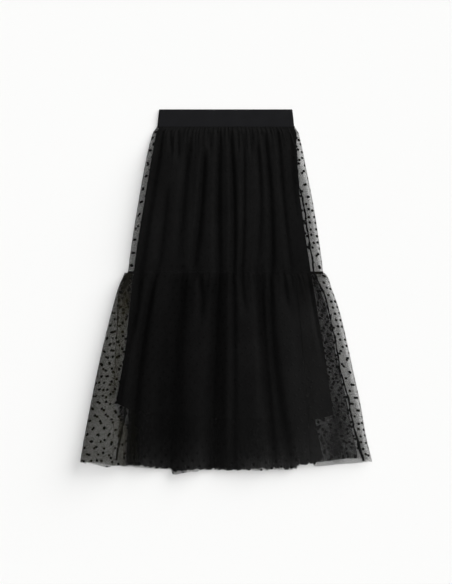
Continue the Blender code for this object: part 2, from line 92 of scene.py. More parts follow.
# Columns of points in each stretch of a net panel
WRAP_STEPS = 26
TURN_STEPS = 10
MARGIN_STEPS = 40
LEFT_PLEAT_STEPS = 10
BODY_STEPS = 300
RIGHT_PLEAT_STEPS = 18
RIGHT_STEPS = 22
BEYOND_STEPS = 14
BACK_STEPS = 200
BACK_GATHERS = 28
MEASURED_ROW = 0.8          # share of the way down where the places along the cloth are measured

DOT_PITCH = 24.6            # between dots along a row
DOT_ROW = 14.4              # between rows, every second one shifted half a pitch
DOT_SIZE = 6.3
DOT_SIDES = 9
DOT_EDGE = 3.0              # dots keep this far from a panel's side and top edges
DOT_JITTER = 0.8


def table(kind, rows):
    """A table whose rows have named columns."""
    return tuple(kind(*row) for row in rows)


# The x of the two side edges
Edge = namedtuple("Edge", "down left right")
BAND_EDGES = table(Edge, (
    (0, -151.2, 149.5), (20, -153.4, 151.9), (40, -155.6, 153.6),
))
UPPER_EDGES = table(Edge, (
    (40.3, -156.6, 155.4), (51.5, -164.4, 162.8), (78.6, -172.7, 169.9), (132.9, -184.2, 180.6),
    (214.2, -198.5, 196.6), (295.6, -211.8, 209.7), (345, -218.6, 216.4), (368.7, -221.4, 219),
))
LOWER_EDGES = table(Edge, (
    (369, -223.3, 221.5), (377, -231, 228.7), (404, -243.4, 238.2), (444.8, -254.9, 252.9),
    (499, -268.9, 267), (580.4, -287.9, 284.6), (661.7, -304.6, 302.4), (743.1, -320.2, 317),
    (794, -328.8, 329.4),
))
LINING_EDGES = table(Edge, (
    (40.2, -149.8, 151), (46, -154, 156.5), (57.2, -158.5, 159), (75, -161.9, 159),
    (111.4, -168.4, 159.2), (150, -175, 162), (204, -183.5, 167.5), (260, -193, 175.5),
    (330.6, -203.8, 185.8), (439.1, -216.3, 203.2), (554.4, -229.4, 222.8), (604, -237.8, 230.3),
    (689.5, -253.5, 241.8),
))
FLOUNCE_EDGES = table(Edge, (
    (640, -217.5, 187), (674.2, -219.4, 195), (694.5, -220.6, 199.3), (796.2, -226.2, 220.5),
))

# The x of the left side seam, on the back, and of the right one, on the front
SeamLine = namedtuple("SeamLine", "down left right")
SEAM_LINES = table(SeamLine, (
    (40, -135, 139), (60, -143, 147), (91, -150, 156.5), (159, -162, 162), (204, -165.5, 172),
    (249, -168, 179.5), (340, -174, 193.7), (369, -176, 199), (389, -184, 207.5), (412, -190, 219),
    (465, -197, 233), (520, -202, 245.4), (583, -210, 256), (645.5, -224, 273),
    (696, -229.5, 283.2), (756, -242.5, 298.3), (794, -249, 310),
))

# Where the hems run across the skirt
Hem = namedtuple("Hem", "x down")
FRONT_HEM = table(Hem, (
    (-329.5, 793.9), (-289, 795), (-255, 801), (-225, 804.5), (-171, 808.8), (-128.5, 811.8),
    (-124.5, 813), (-119.5, 823.2), (-89.5, 817.6), (-87, 817.2), (-64, 815.8), (-61.5, 812.6),
    (-18, 813.4), (136, 812.4), (159.5, 810), (162, 803.5), (176, 800), (226, 792.8), (281, 786.6),
    (308, 787), (329.4, 793.9),
))
BACK_HEM = table(Hem, (
    (-329.5, 793.9), (-305.8, 799), (-263, 808.5), (-258, 804.5), (-171, 805), (-81, 807.5),
    (91, 807.5), (163, 800), (194.5, 798), (197.5, 806.5), (254.7, 801.4), (308.9, 797.2),
    (329.4, 793.9),
))
LINING_HEM = table(Hem, (
    (-253, 661.5), (-240, 668), (-219.5, 676), (-126, 688), (9.5, 697), (145, 701.5), (198.7, 699),
    (241.8, 689.3),
))
FLOUNCE_HEM = table(Hem, (
    (-226.2, 800.5), (-203, 803), (-171, 807.2), (-150, 809.5), (-125, 811.5), (-119, 817),
    (-91, 814.5), (-87.5, 811.8), (9.5, 811.8), (136, 811), (159, 808.5), (162, 802.5), (185, 799),
    (220.5, 791),
))

# Troughs between folds: start and end down the skirt; x, half width and depth there.  Those that
# end at one of the THROUGH values run on through the seam or the hem; the others run out.
THROUGH = (372, 830, 850)
Trough = namedtuple("Trough", "start end x_start x_middle x_end width_start width_end "
                              "depth_start depth_end")
UPPER_TROUGHS = table(Trough, (
    (41, 372, -142.5, -170, -196, 6.5, 9, 0.68, 0.50),
    (41, 108, -127, -125, -123, 4, 4, 0.42, 0.42),
    (41, 130, -108, -108, -110, 3.5, 6, 0.45, 0.45),
    (160, 372, -134, -143, -157, 8, 9, 0.30, 0.60),
    (51, 400, -82, -100, -113, 5.5, 14, 0.80, 0.62),
    (340, 372, -100, -100, -100, 9, 11, 0.10, 0.80),
    (78, 372, -50, -59, -77, 6, 9.5, 0.85, 0.92),
    (41, 105, -38, -38, -36, 4, 4.5, 0.45, 0.40),
    (41, 372, -15, -19.5, -18, 5.5, 11, 0.76, 0.88),
    (41, 372, 6, 16, 14, 5.5, 7.5, 0.58, 0.74),
    (41, 110, 27.5, 27.5, 27, 4, 4.5, 0.35, 0.30),
    (50, 372, 38, 39, 34, 5, 6, 0.40, 0.48),
    (41, 120, 56, 56.5, 58, 4, 5, 0.45, 0.40),
    (62, 372, 66, 76, 66, 5.5, 7, 0.60, 0.32),
    (48, 372, 84, 99, 101, 5.5, 8, 0.66, 0.86),
    (44, 372, 115.5, 128.5, 146, 5.5, 6.5, 0.80, 0.38),
    (44, 300, 147, 153, 172, 5, 7, 0.85, 0.55),
))
LOWER_TROUGHS = table(Trough, (
    (366, 560, -195, -206, -227, 7, 9, 0.62, 0.45),
    (366, 830, -160, -200, -216, 7, 16, 0.75, 0.66),
    (366, 830, -118, -142, -150, 12, 18, 0.40, 0.50),
    (366, 830, -97, -123, -131, 19, 27, 0.92, 0.86),
    (366, 500, -64, -56, -66, 7, 9, 0.62, 0.40),
    (366, 850, -18, -29, -28, 10, 25, 0.99, 0.95),
    (366, 850, -8, -10, -8, 13, 18, 0.35, 0.40),
    (366, 850, 15, 16, 15, 7, 10, 0.62, 0.52),
    (366, 480, 33, 38, 46, 6, 7, 0.50, 0.30),
    (366, 800, 66, 84, 100, 6, 17, 0.72, 0.80),
    (366, 850, 78, 92, 112, 8, 12, 0.75, 0.50),
    (366, 850, 99, 111, 157, 6, 17, 0.70, 0.62),
    (366, 470, 128, 133, 142, 5, 8, 0.50, 0.35),
    (366, 600, 184, 203, 224, 5, 6, 0.70, 0.50),
))

# Height that the folds add over the lining, and height of the net where it turns over
Loft = namedtuple("Loft", "down height fold")
LOFTS = table(Loft, (
    (40, 2, 6.6), (58, 8, 9.5), (90, 13.5, 13), (160, 16, 16), (280, 16, 16), (345, 13, 14.5),
    (369, 11, 13.5), (400, 14, 16), (480, 17, 17.5), (620, 17, 18), (740, 15.5, 17.5),
    (815, 13, 16.5),
))

# A knife pleat: the x of its hidden inner fold and of its visible outer fold
Pleat = namedtuple("Pleat", "down inner outer")
LEFT_PLEAT = table(Pleat, (
    (369, -228, -213), (392, -236, -220), (425, -243, -234.5), (500, -246, -243),
    (575, -250.2, -248.6), (620, -251.2, -250.6), (800, -254.5, -254),
))
RIGHT_PLEAT = table(Pleat, (
    (369, 156, 198), (392, 158, 206), (437, 162, 222), (485, 166.5, 235), (559, 173, 248),
    (615, 177.5, 261), (672, 183, 274), (722, 186, 283), (759, 187.5, 291), (800, 189, 298),
))

Tier = namedtuple("Tier", "name top length edges troughs gathers gather_height phase pleats")
UPPER = Tier("upper", BAND_HEIGHT + SEAM_GAP, 328.4, UPPER_EDGES, UPPER_TROUGHS, 34, 2.2, 0.7, ())
LOWER = Tier("lower", TIER_SEAM, 440, LOWER_EDGES, LOWER_TROUGHS, 31, 1.4, 2.9,
             (LEFT_PLEAT, RIGHT_PLEAT))


# ---------------------------------------------------------------- forms

def smoothstep(start, end, value):
    """Rise smoothly from 0 at start to 1 at end."""
    t = np.clip((np.asarray(value, float) - start) / (end - start), 0.0, 1.0)
    return t * t * (3.0 - 2.0 * t)


def fall(start, end, value):
    """Fall smoothly from 1 at start to 0 at end."""
    return 1.0 - smoothstep(start, end, value)


def blend(a, b, share):
    """Go from a at share 0 to b at share 1."""
    return a + (b - a) * share


def read_table(rows, key, column, value):
    """Smooth monotone curve through a table's rows, held level past its ends."""
    xs = np.array([getattr(row, key) for row in rows], float)
    ys = np.array([getattr(row, column) for row in rows], float)
    steps = np.diff(xs)
    slopes = np.diff(ys) / steps
    tangent = np.empty_like(ys)
    tangent[0] = slopes[0]
    tangent[-1] = slopes[-1]
    flat = slopes[:-1] * slopes[1:] <= 0.0
    weight_a = 2.0 * steps[1:] + steps[:-1]
    weight_b = steps[1:] + 2.0 * steps[:-1]
    safe_a = np.where(flat, 1.0, slopes[:-1])
    safe_b = np.where(flat, 1.0, slopes[1:])
    mean = (weight_a + weight_b) / (weight_a / safe_a + weight_b / safe_b)
    tangent[1:-1] = np.where(flat, 0.0, mean)
    v = np.clip(np.asarray(value, float), xs[0], xs[-1])
    i = np.clip(np.searchsorted(xs, v, side="right") - 1, 0, len(steps) - 1)
    t = (v - xs[i]) / steps[i]
    return (ys[i] * (1 + 2 * t) * (1 - t) ** 2 + tangent[i] * steps[i] * t * (1 - t) ** 2
            + ys[i + 1] * t * t * (3 - 2 * t) + tangent[i + 1] * steps[i] * t * t * (t - 1))


def edges_at(edges, down):
    """The x of the left and of the right edge."""
    return read_table(edges, "down", "left", down), read_table(edges, "down", "right", down)


def fold_height(down):
    """Outer height of the net where it turns over at the right side."""
    return read_table(LOFTS, "down", "fold", down)


def left_fold(down):
    """The same on the left, where the net stands a little higher."""
    return fold_height(down) * (1.0 + LEFT_PUFF * smoothstep(50, 110, down))


def flat_span(tier, down):
    """Where the flat width between the two side turns starts, and that width."""
    left, right = edges_at(tier.edges, down)
    low = left + left_fold(down) / 2.0
    return low, right - fold_height(down) / 2.0 - low


def seam_x(side, down):
    """x of the left or of the right side seam."""
    return read_table(SEAM_LINES, "down", side, down)


def uneven_places(count, phase):
    """Places from 0 to 1 of count + 1 gathers whose spacing wanders."""
    k = np.arange(count)
    gaps = 1.0 + 0.32 * np.sin(2.4 * k + phase) + 0.18 * np.sin(5.3 * k + 2.0 * phase)
    return np.concatenate([[0.0], np.cumsum(gaps) / gaps.sum()])


def gather_at(share, count, phase):
    """Number of the gather at a place from 0 to 1, whole at its middle."""
    return np.interp(share, uneven_places(count, phase), np.arange(count + 1))


def hump(index):
    """A gather's rounded form: 1 at its middle, 0 between two of them."""
    return 0.5 * (1.0 + np.cos(2.0 * math.pi * index))


def front_floor(down):
    """Lowest height that the net's front can have over what it covers."""
    lift = LINING_HEM_LIFT * smoothstep(500, 620, down)
    return FRONT_FLOOR + lift - 1.6 * smoothstep(730, 780, down)


def trough_x(trough, share):
    """x along a trough: a curve through its start, middle and end."""
    return (trough.x_start * (1 - share) * (1 - 2 * share)
            + trough.x_middle * 4 * share * (1 - share) + trough.x_end * share * (2 * share - 1))


def loft_left(tier, x, down):
    """Share of the loft that one tier's troughs leave standing."""
    left = np.ones(np.broadcast(x, down).shape)
    for trough in tier.troughs:
        share = (down - trough.start) / (trough.end - trough.start)
        reach = QUICK_START if trough.start < BAND_GATHERS_END else SLOW_START
        fade = smoothstep(0.0, reach, down - trough.start) if tier is UPPER else 1.0
        if trough.end not in THROUGH:
            fade = fade * fall(RUN_OUT_FROM, 1.0, share)
        inner = np.clip(share, 0.0, 1.0)
        width = blend(trough.width_start, trough.width_end, inner)
        depth = blend(trough.depth_start, trough.depth_end, inner)
        away = (x - trough_x(trough, inner)) / width
        left = left * (1.0 - depth * fade * np.exp(-away * away))
    return left


def swell(x, down):
    """Slow unevenness of the loft from ridge to ridge."""
    return 0.86 + 0.10 * np.sin(x / 27.0 + down / 210.0) + 0.07 * np.sin(x / 11.5 - down / 160.0)


def soft_noise(x, y, seed, scale_x, scale_y, octaves=3):
    """Smooth deterministic unevenness made of a few turned sine waves."""
    source = np.random.default_rng(seed)
    total = np.zeros(np.broadcast(x, y).shape)
    size = 1.0
    for _ in range(octaves):
        for _ in range(4):
            a, b = source.uniform(0.6, 1.4, 2)
            p, q = source.uniform(0.0, 2.0 * math.pi, 2)
            across = np.sin(a * x / scale_x + 0.6 * np.sin(y / scale_y + q) + p)
            along = np.sin(b * y / scale_y + 0.5 * np.sin(x / scale_x + p) + q)
            total = total + size * across * along
        size *= 0.5
        scale_x *= 0.47
        scale_y *= 0.47
    return total / 4.0


def gather_wave(tier, x, down):
    """The gathers that hang from a tier's top seam, each with its own depth and reach."""
    low, width = flat_span(tier, down)
    index = gather_at(np.clip((x - low) / width, 0.0, 1.0), tier.gathers, tier.phase)
    source = np.random.default_rng(int(tier.phase * 10))
    depth = source.uniform(0.55, 1.25, tier.gathers + 2)
    reach = source.uniform(40.0, 120.0, tier.gathers + 2)
    numbers = np.arange(tier.gathers + 2)
    depth = np.interp(index, numbers, depth)
    reach = np.interp(index, numbers, reach)
    below = down - tier.top
    height = tier.gather_height * depth * (0.3 + 0.7 * smoothstep(0, 8, below))
    height = height * (1.0 - 0.92 * smoothstep(0.15, 1.0, below / reach))
    fine = 0.35 * np.cos(4.0 * math.pi * index + 1.3) * fall(6, 30, below)
    return height * hump(index) + fine


def fold_detail(tier, x, down):
    """Narrower soft ridges and creases between the main troughs."""
    below = down - tier.top
    away = smoothstep(10, 60, below)
    drift = x + 0.05 * down * np.sin(x / 90.0)
    seed = 11 if tier is UPPER else 12
    streak = soft_noise(drift, down, seed, 9.0, 160.0, 2)
    crease = soft_noise(x, down, seed + 10, 26.0, 60.0, 3)
    return away * (0.75 * streak + 0.45 * crease)


def body_edges(down):
    """Side edges of the opaque inner layers: the lining, and below it the flounce."""
    left, right = edges_at(LINING_EDGES, down)
    flounce_left, flounce_right = edges_at(FLOUNCE_EDGES, down)
    below = smoothstep(660, 720, down)
    return blend(left, flounce_left, below), blend(right, flounce_right, below)


def flank(distance, reach):
    """Rise of a body's flank: 0 at its foot, 1 where reach is used up, rounded at the top."""
    t = np.clip(distance / reach, 0.0, 1.0)
    return 0.55 * (1.0 - (1.0 - t) ** 2.0) + 0.45 * t * t * (3.0 - 2.0 * t)


def net_share(tier, x, down):
    """How far the net's front has come from the margin's height to the body's."""
    low, _ = flat_span(tier, down)
    left, right = body_edges(down)
    left_out = np.clip(left - low, 4.0, LEFT_FLANK)
    right_out = np.clip(seam_x("right", down) - SEAM_FLAT - right, 4.0, RIGHT_FLANK)
    return (flank(x - left + left_out, left_out + LEFT_SHOULDER)
            * flank(right + right_out - x, right_out + RIGHT_SHOULDER))


def dome(x, down):
    """The loft is highest left of the middle and lower towards the sides."""
    left, right = body_edges(down)
    away = (x - (left + right) / 2.0) / (right - left) * 2.0
    return 1.0 - 0.12 * away * away - 0.10 * away


def folds_left(tier, x, down):
    """Share of the loft that the troughs leave: even at the waistband, shared at the tier seam."""
    left = loft_left(tier, x, down)
    level = np.full(np.shape(down), TIER_SEAM)
    shared = 0.5 * (loft_left(UPPER, x, level) + loft_left(LOWER, x, level))
    left = blend(shared, left, smoothstep(0.0, SEAM_SHARED, np.abs(down - TIER_SEAM)))
    return blend(EVEN_LOFT, left, smoothstep(EVEN_UNTIL, FOLDED_FROM, down))


def body_loft(tier, x, down, shares):
    """Height that the folds of one layer add over the body."""
    base, folded = shares
    loft = read_table(LOFTS, "down", "height", down) * swell(x, down) * dome(x, down)
    return loft * (base + folded * folds_left(tier, x, down))


def front_height(tier, x, down):
    """Height of the visible sheet of a tier's front."""
    low, _ = flat_span(tier, down)
    inside = np.minimum(x - low, seam_x("right", down) - SEAM_FLAT - x)
    margin = np.where(x < MARGIN_SPLIT, left_fold(down), fold_height(down))
    body = front_floor(down) + body_loft(tier, x, down, NET_LOFT) - margin
    body = body + fold_detail(tier, x, down)
    height = margin + body * net_share(tier, x, down)
    height = height + gather_wave(tier, x, down) * smoothstep(0, 9, inside)
    height = height + 0.25 * soft_noise(x, down, 31, 14.0, 18.0, 2)
    return height - SHEET_INSET


def back_gathers(tier, x, down):
    """Height of the back's gathers, pressed flat within four centimetres."""
    low, width = flat_span(tier, down)
    index = gather_at(np.clip((x - low) / width, 0.0, 1.0), BACK_GATHERS, tier.phase + 1.3)
    return 0.8 * fall(8, 40, down - tier.top) * hump(index)


# A stretch of a net panel, going round from one side seam to the other
Stretch = namedtuple("Stretch", "kind number steps")
BACK_STRETCHES = (
    Stretch("beyond", 0, BEYOND_STEPS),
    Stretch("right turn", 0, TURN_STEPS),
    Stretch("back", 0, BACK_STEPS),
)
LEFT_STRETCHES = (Stretch("wrap", 0, WRAP_STEPS), Stretch("left turn", 0, TURN_STEPS))
PLAIN_FRONT = LEFT_STRETCHES + (Stretch("front", 0, BODY_STEPS),)
PLEATED_FRONT = LEFT_STRETCHES + (
    Stretch("front", 0, MARGIN_STEPS),
    Stretch("pleat", 0, LEFT_PLEAT_STEPS),
    Stretch("front", 1, BODY_STEPS),
    Stretch("pleat", 1, RIGHT_PLEAT_STEPS),
    Stretch("front", 2, RIGHT_STEPS),
)


def panel_columns(tier, panel):
    """Every column of points of a panel: its stretch, and its place on that from 0 to 1."""
    front = PLEATED_FRONT if tier.pleats else PLAIN_FRONT
    columns = []
    for stretch in front if panel == "front" else BACK_STRETCHES:
        first = 1 if columns else 0
        columns += [(stretch, k / stretch.steps) for k in range(first, stretch.steps + 1)]
    return columns


def turn_point(centre_x, height, inset, side, share):
    """x and z on the half circle round one side of a flattened tube of the given height.

    It goes down at the right, where side is 1, and up at the left, where it is -1.
    """
    angle = side * math.pi * (0.5 - share)
    radius = height / 2.0 - inset
    return centre_x + side * radius * np.cos(angle), height / 2.0 + radius * np.sin(angle)


def place_columns(tier, columns, down):
    """x and z of every column's points, for down given per point."""
    low, width = flat_span(tier, down)
    high = low + width
    left_seam = seam_x("left", down)
    right_seam = seam_x("right", down)
    left_height = left_fold(down)
    right_height = fold_height(down)
    inner = [read_table(pleat, "down", "inner", down) for pleat in tier.pleats]
    outer = [read_table(pleat, "down", "outer", down) for pleat in tier.pleats]
    starts = [low] + inner
    stops = outer + [right_seam]
    if tier.pleats:
        open_left = np.clip((outer[0] - inner[0]) / PLEAT_OPEN, 0.0, 1.0)
    x = np.zeros(down.shape)
    z = np.full(down.shape, SHEET_INSET)
    for c, (stretch, along) in enumerate(columns):
        at = (slice(None), c)
        number = stretch.number
        if stretch.kind == "wrap":
            x[at] = blend(left_seam[at], low[at], along)
        elif stretch.kind == "left turn":
            x[at], z[at] = turn_point(low[at], left_height[at], SHEET_INSET, -1, along)
        elif stretch.kind == "right turn":
            x[at], z[at] = turn_point(high[at], right_height[at], SHEET_INSET, 1, along)
        elif stretch.kind == "beyond":
            x[at] = blend(right_seam[at] + SEAM_GAP, high[at], along)
            z[at] = front_height(tier, x[at], down[at])
        elif stretch.kind == "back":
            x[at] = blend(high[at], left_seam[at] + SEAM_GAP, along)
            z[at] += back_gathers(tier, x[at], down[at])
        elif stretch.kind == "pleat":
            x[at] = blend(outer[number][at], inner[number][at], along)
            drop = PLEAT_DEPTH * along * (open_left[at] if number == 0 else 1.0)
            z[at] = front_height(tier, x[at], down[at]) - drop
        else:
            x[at] = blend(starts[number][at], stops[number][at], along)
            drop = PLEAT_DEPTH if number == 2 else 0.0
            if number == 1:
                drop = PLEAT_DEPTH * open_left[at] * fall(0, PLEAT_RISE, along)
            z[at] = front_height(tier, x[at], down[at]) - drop
    return x, z


def along_line(points):
    """Distance of each point along the line that they form."""
    steps = np.linalg.norm(np.diff(points, axis=0), axis=1)
    return np.concatenate([[0.0], np.cumsum(steps)])


def net_path(tier, panel, shares):
    """Grid of points of a net panel, each column's place along the cloth, and the depth of each.

    shares holds the rows' places, from 0 at the top seam to 1 at the hem.
    """
    columns = panel_columns(tier, panel)
    ends = np.full(len(columns), tier.top + tier.length)
    if tier is LOWER:
        hem_x = place_columns(tier, columns, np.full((1, len(columns)), HEM_CORNER))[0][0]
        on_front = np.array([stretch.kind in ("front", "pleat", "beyond")
                             for stretch, _ in columns])
        ends = np.where(on_front, read_table(FRONT_HEM, "x", "down", hem_x),
                        read_table(BACK_HEM, "x", "down", hem_x)) + hem_fray(hem_x)
    down = blend(tier.top, ends[None, :], shares[:, None])
    x, z = place_columns(tier, columns, down)
    row = int(MEASURED_ROW * len(shares))
    along_cloth = along_line(np.stack([x[row], z[row]], axis=-1))
    return x, WAIST_Y - down, z, along_cloth, down - tier.top


# ---------------------------------------------------------------- meshes

SKIRT = bpy.data.collections.new("skirt_visual")
bpy.context.scene.collection.children.link(SKIRT)


def grid_faces(rows, columns, closed=False):
    """Quads of a grid of points; closed joins its last column to its first."""
    r, c = np.meshgrid(np.arange(rows - 1), np.arange(columns if closed else columns - 1),
                       indexing="ij")
    beside = (c + 1) % columns
    quads = [r * columns + c, (r + 1) * columns + c, (r + 1) * columns + beside,
             r * columns + beside]
    return np.stack(quads, axis=-1).reshape(-1, 4)


def make_mesh(name, points_mm, faces, uv_mm, material, values=None):
    """A mesh object from arrays; uv_mm holds each point's place on the cloth, or is None."""
    mesh = bpy.data.meshes.new(name)
    points = np.asarray(points_mm, np.float32).reshape(-1, 3) * MM
    faces = np.asarray(faces, np.int32)
    sides = faces.shape[1]
    mesh.vertices.add(len(points))
    mesh.vertices.foreach_set("co", points.ravel())
    mesh.loops.add(faces.size)
    mesh.loops.foreach_set("vertex_index", faces.ravel())
    mesh.polygons.add(len(faces))
    mesh.polygons.foreach_set("loop_start", np.arange(0, faces.size, sides, dtype=np.int32))
    mesh.update(calc_edges=True)
    if uv_mm is not None:
        layer = mesh.uv_layers.new(name="cloth")
        uv = np.asarray(uv_mm, np.float32).reshape(-1, 2)[faces.ravel()] * MM
        layer.data.foreach_set("uv", uv.ravel())
    mesh.polygons.foreach_set("use_smooth", np.full(len(faces), True))
    for label, numbers in (values or {}).items():
        attribute = mesh.attributes.new(label, "FLOAT", "POINT")
        attribute.data.foreach_set("value", np.asarray(numbers, np.float32).ravel())
    mesh.validate()
    mesh.materials.append(material)
    obj = bpy.data.objects.new(name, mesh)
    SKIRT.objects.link(obj)
    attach(obj, "root")
    return obj


# ---------------------------------------------------------------- materials

class Graph:
    """Adds nodes to one material or to the sky; a socket or a number can go in anywhere."""

    def __init__(self, tree):
        self.tree = tree

    def link(self, source, target):
        self.tree.links.new(source, target)

    def put(self, socket, value):
        if hasattr(value, "is_linked"):
            self.link(value, socket)
        else:
            socket.default_value = value

    def node(self, kind):
        return self.tree.nodes.new(kind)

    def math(self, operation, a, b=0.0, c=0.0):
        node = self.node("ShaderNodeMath")
        node.operation = operation
        for socket, value in zip(node.inputs, (a, b, c)):
            self.put(socket, value)
        return node.outputs[0]

    def uv(self):
        """Coordinates on the cloth: as a vector, along it and down it."""
        node = self.node("ShaderNodeUVMap")
        node.uv_map = "cloth"
        split = self.node("ShaderNodeSeparateXYZ")
        self.link(node.outputs[0], split.inputs[0])
        return node.outputs[0], split.outputs[0], split.outputs[1]

    def value(self, name):
        node = self.node("ShaderNodeAttribute")
        node.attribute_name = name
        return node.outputs["Fac"]

    def scaled(self, color, factor):
        node = self.node("ShaderNodeVectorMath")
        node.operation = "SCALE"
        self.put(node.inputs[0], color)
        self.put(node.inputs["Scale"], factor)
        return node.outputs[0]

    def noise(self, vector, scale, detail=2.0):
        node = self.node("ShaderNodeTexNoise")
        node.inputs["Scale"].default_value = scale
        node.inputs["Detail"].default_value = detail
        self.link(vector, node.inputs["Vector"])
        return node.outputs["Fac"]

    def ramp(self, value, low, high, to_low=0.0, to_high=1.0):
        node = self.node("ShaderNodeMapRange")
        node.clamp = True
        self.put(node.inputs["Value"], value)
        node.inputs["From Min"].default_value = low
        node.inputs["From Max"].default_value = high
        node.inputs["To Min"].default_value = to_low
        node.inputs["To Max"].default_value = to_high
        return node.outputs["Result"]

    def mix(self, share, a, b):
        node = self.node("ShaderNodeMix")
        node.data_type = "RGBA"
        self.put(node.inputs[0], share)
        self.put(node.inputs[6], a)
        self.put(node.inputs[7], b)
        return node.outputs[2]

    def mottled(self, value, color, spread):
        """The colour, darker and lighter by spread as the value goes from 0.35 to 0.65."""
        ends = [tuple(c * level for c in color) + (1.0,) for level in (1.0 - spread, 1.0 + spread)]
        return self.mix(self.ramp(value, 0.35, 0.65), *ends)

    def bump(self, height, strength, distance):
        node = self.node("ShaderNodeBump")
        node.inputs["Strength"].default_value = strength
        node.inputs["Distance"].default_value = distance
        self.link(height, node.inputs["Height"])
        return node.outputs[0]


def new_material(name, roughness, specular):
    """A material with one shader, and the graph that adds nodes to it."""
    material = bpy.data.materials.new(name)
    material.use_nodes = True
    graph = Graph(material.node_tree)
    graph.tree.nodes.clear()
    shader = graph.node("ShaderNodeBsdfPrincipled")
    graph.link(shader.outputs[0], graph.node("ShaderNodeOutputMaterial").inputs[0])
    shader.inputs["Roughness"].default_value = roughness
    shader.inputs["Specular IOR Level"].default_value = specular
    return material, graph, shader


NET_CELL = 0.0013           # metres across a mesh of the net
NET_TURN = 15.0             # degrees between its rows and the panel's length
THREAD_SWING = 0.10         # how much the threads' width varies
NARROWEST_VIEW = 0.12       # a net seen more edge-on than this gets no denser


def hex_edge(graph, u, v):
    """Distance to the nearest thread of a six-sided net, in cells, 0 on the thread."""
    root3 = math.sqrt(3.0)
    pu = graph.math("MULTIPLY", u, 1.0 / NET_CELL)
    pv = graph.math("MULTIPLY", v, 1.0 / NET_CELL)

    def centred(offset_u, offset_v):
        a = graph.math("FLOORED_MODULO", graph.math("ADD", pu, offset_u), 1.0)
        b = graph.math("FLOORED_MODULO", graph.math("ADD", pv, offset_v), root3)
        return (graph.math("ABSOLUTE", graph.math("SUBTRACT", a, 0.5)),
                graph.math("ABSOLUTE", graph.math("SUBTRACT", b, root3 / 2.0)))

    def reach(au, av):
        slanted = graph.math("MULTIPLY_ADD", av, root3 / 2.0, graph.math("MULTIPLY", au, 0.5))
        return graph.math("MAXIMUM", slanted, au)

    first = reach(*centred(0.0, 0.0))
    second = reach(*centred(0.5, root3 / 2.0))
    return graph.math("SUBTRACT", 0.5, graph.math("MINIMUM", first, second))


def turned(graph, u, v, angle):
    """Cloth coordinates turned against the grain."""
    c, n = math.cos(math.radians(angle)), math.sin(math.radians(angle))
    return (graph.math("MULTIPLY_ADD", u, c, graph.math("MULTIPLY", v, n)),
            graph.math("MULTIPLY_ADD", v, c, graph.math("MULTIPLY", u, -n)))


def net_material(name, cover, color, warm):
    """Fine six-sided net; cover is the share of the area that its threads fill.

    Their colour is painted warm where light comes through them from behind: painted transmitted
    light.
    """
    material, graph, shader = new_material(name, 0.75, 0.04)
    vector, u, v = graph.uv()
    edge = hex_edge(graph, *turned(graph, u, v, NET_TURN))
    facing = graph.node("ShaderNodeLayerWeight")
    facing.inputs["Blend"].default_value = 0.5
    straight = graph.math("SUBTRACT", 1.0, facing.outputs["Facing"])
    straight = graph.math("MAXIMUM", straight, NARROWEST_VIEW)
    crowded = graph.math("DIVIDE", graph.value("fullness"), straight)
    hole = graph.math("POWER", math.sqrt(1.0 - cover), crowded)
    half = graph.math("MULTIPLY_ADD", hole, -0.5, 0.5)
    wobble = graph.ramp(graph.noise(vector, 90.0), 0.3, 0.7, 1.0 - THREAD_SWING,
                        1.0 + THREAD_SWING)
    thread = graph.math("LESS_THAN", edge, graph.math("MULTIPLY", half, wobble))
    graph.put(shader.inputs["Alpha"], thread)
    shade = graph.mottled(graph.noise(vector, 14.0, 3.0), color, 0.15)
    # painted shade and light: the net's colour is scaled by the mesh's painted shading values
    shade = graph.scaled(shade, graph.value("tone"))
    graph.put(shader.inputs["Base Color"], graph.mix(graph.value("warmth"), shade, warm))
    return material


def weighted(graph, a, b, share):
    """A mixture of two values, with the given share of the first."""
    return graph.math("ADD", graph.math("MULTIPLY", a, share),
                      graph.math("MULTIPLY", b, 1.0 - share))


def sine_wave(graph, value, period):
    """A sine along the cloth; period in metres."""
    return graph.math("SINE", graph.math("MULTIPLY", value, 2.0 * math.pi / period))


def lining_material():
    """Opaque cloth with a fine woven grain."""
    weave = 0.0006
    material, graph, shader = new_material("lining_cloth", 0.6, 0.04)
    vector, u, v = graph.uv()
    grain = graph.math("MULTIPLY", sine_wave(graph, u, weave), sine_wave(graph, v, weave))
    mixed = weighted(graph, graph.noise(vector, 25.0, 4.0), graph.noise(vector, 420.0), 0.6)
    shade = graph.mottled(mixed, (0.0048, 0.0048, 0.0049), 0.25)
    # painted shade and light: the lining's colour is scaled by the mesh's painted shading values
    graph.put(shader.inputs["Base Color"], graph.scaled(shade, graph.value("tone")))
    graph.link(graph.bump(grain, 0.5, 0.00005), shader.inputs["Normal"])
    return material


def elastic_material():
    """Ribbed woven elastic: fine lengthwise ribs, crossed by a finer beat."""
    material, graph, shader = new_material("woven_elastic", 0.7, 0.12)
    vector, u, v = graph.uv()
    ribs = graph.math("ABSOLUTE", sine_wave(graph, v, 0.0025))
    grain = graph.math("ADD", ribs, graph.math("MULTIPLY", sine_wave(graph, u, 0.0011), 0.3))
    mixed = weighted(graph, graph.noise(vector, 30.0, 4.0), graph.noise(vector, 500.0), 0.55)
    color = graph.mix(graph.ramp(mixed, 0.35, 0.65), (0.0027, 0.0027, 0.0036, 1.0),
                      (0.0050, 0.0051, 0.0062, 1.0))
    graph.put(shader.inputs["Base Color"], color)
    graph.link(graph.bump(grain, 0.6, 0.00012), shader.inputs["Normal"])
    return material


def plain_material(name, color, roughness, specular, with_painted_shading=False):
    """Fine-grained opaque stuff; when asked, its colour also carries the painted shade and light
    stored on the mesh.
    """
    material, graph, shader = new_material(name, roughness, specular)
    grain = graph.noise(graph.node("ShaderNodeTexCoord").outputs["Object"], 900.0)
    shade = graph.mottled(grain, color, 0.3)
    # painted shade and light from the mesh's values
    if with_painted_shading:
        shade = graph.scaled(shade, graph.value("tone"))
    graph.put(shader.inputs["Base Color"], shade)
    graph.link(graph.bump(grain, 0.5, 0.0002), shader.inputs["Normal"])
    return material


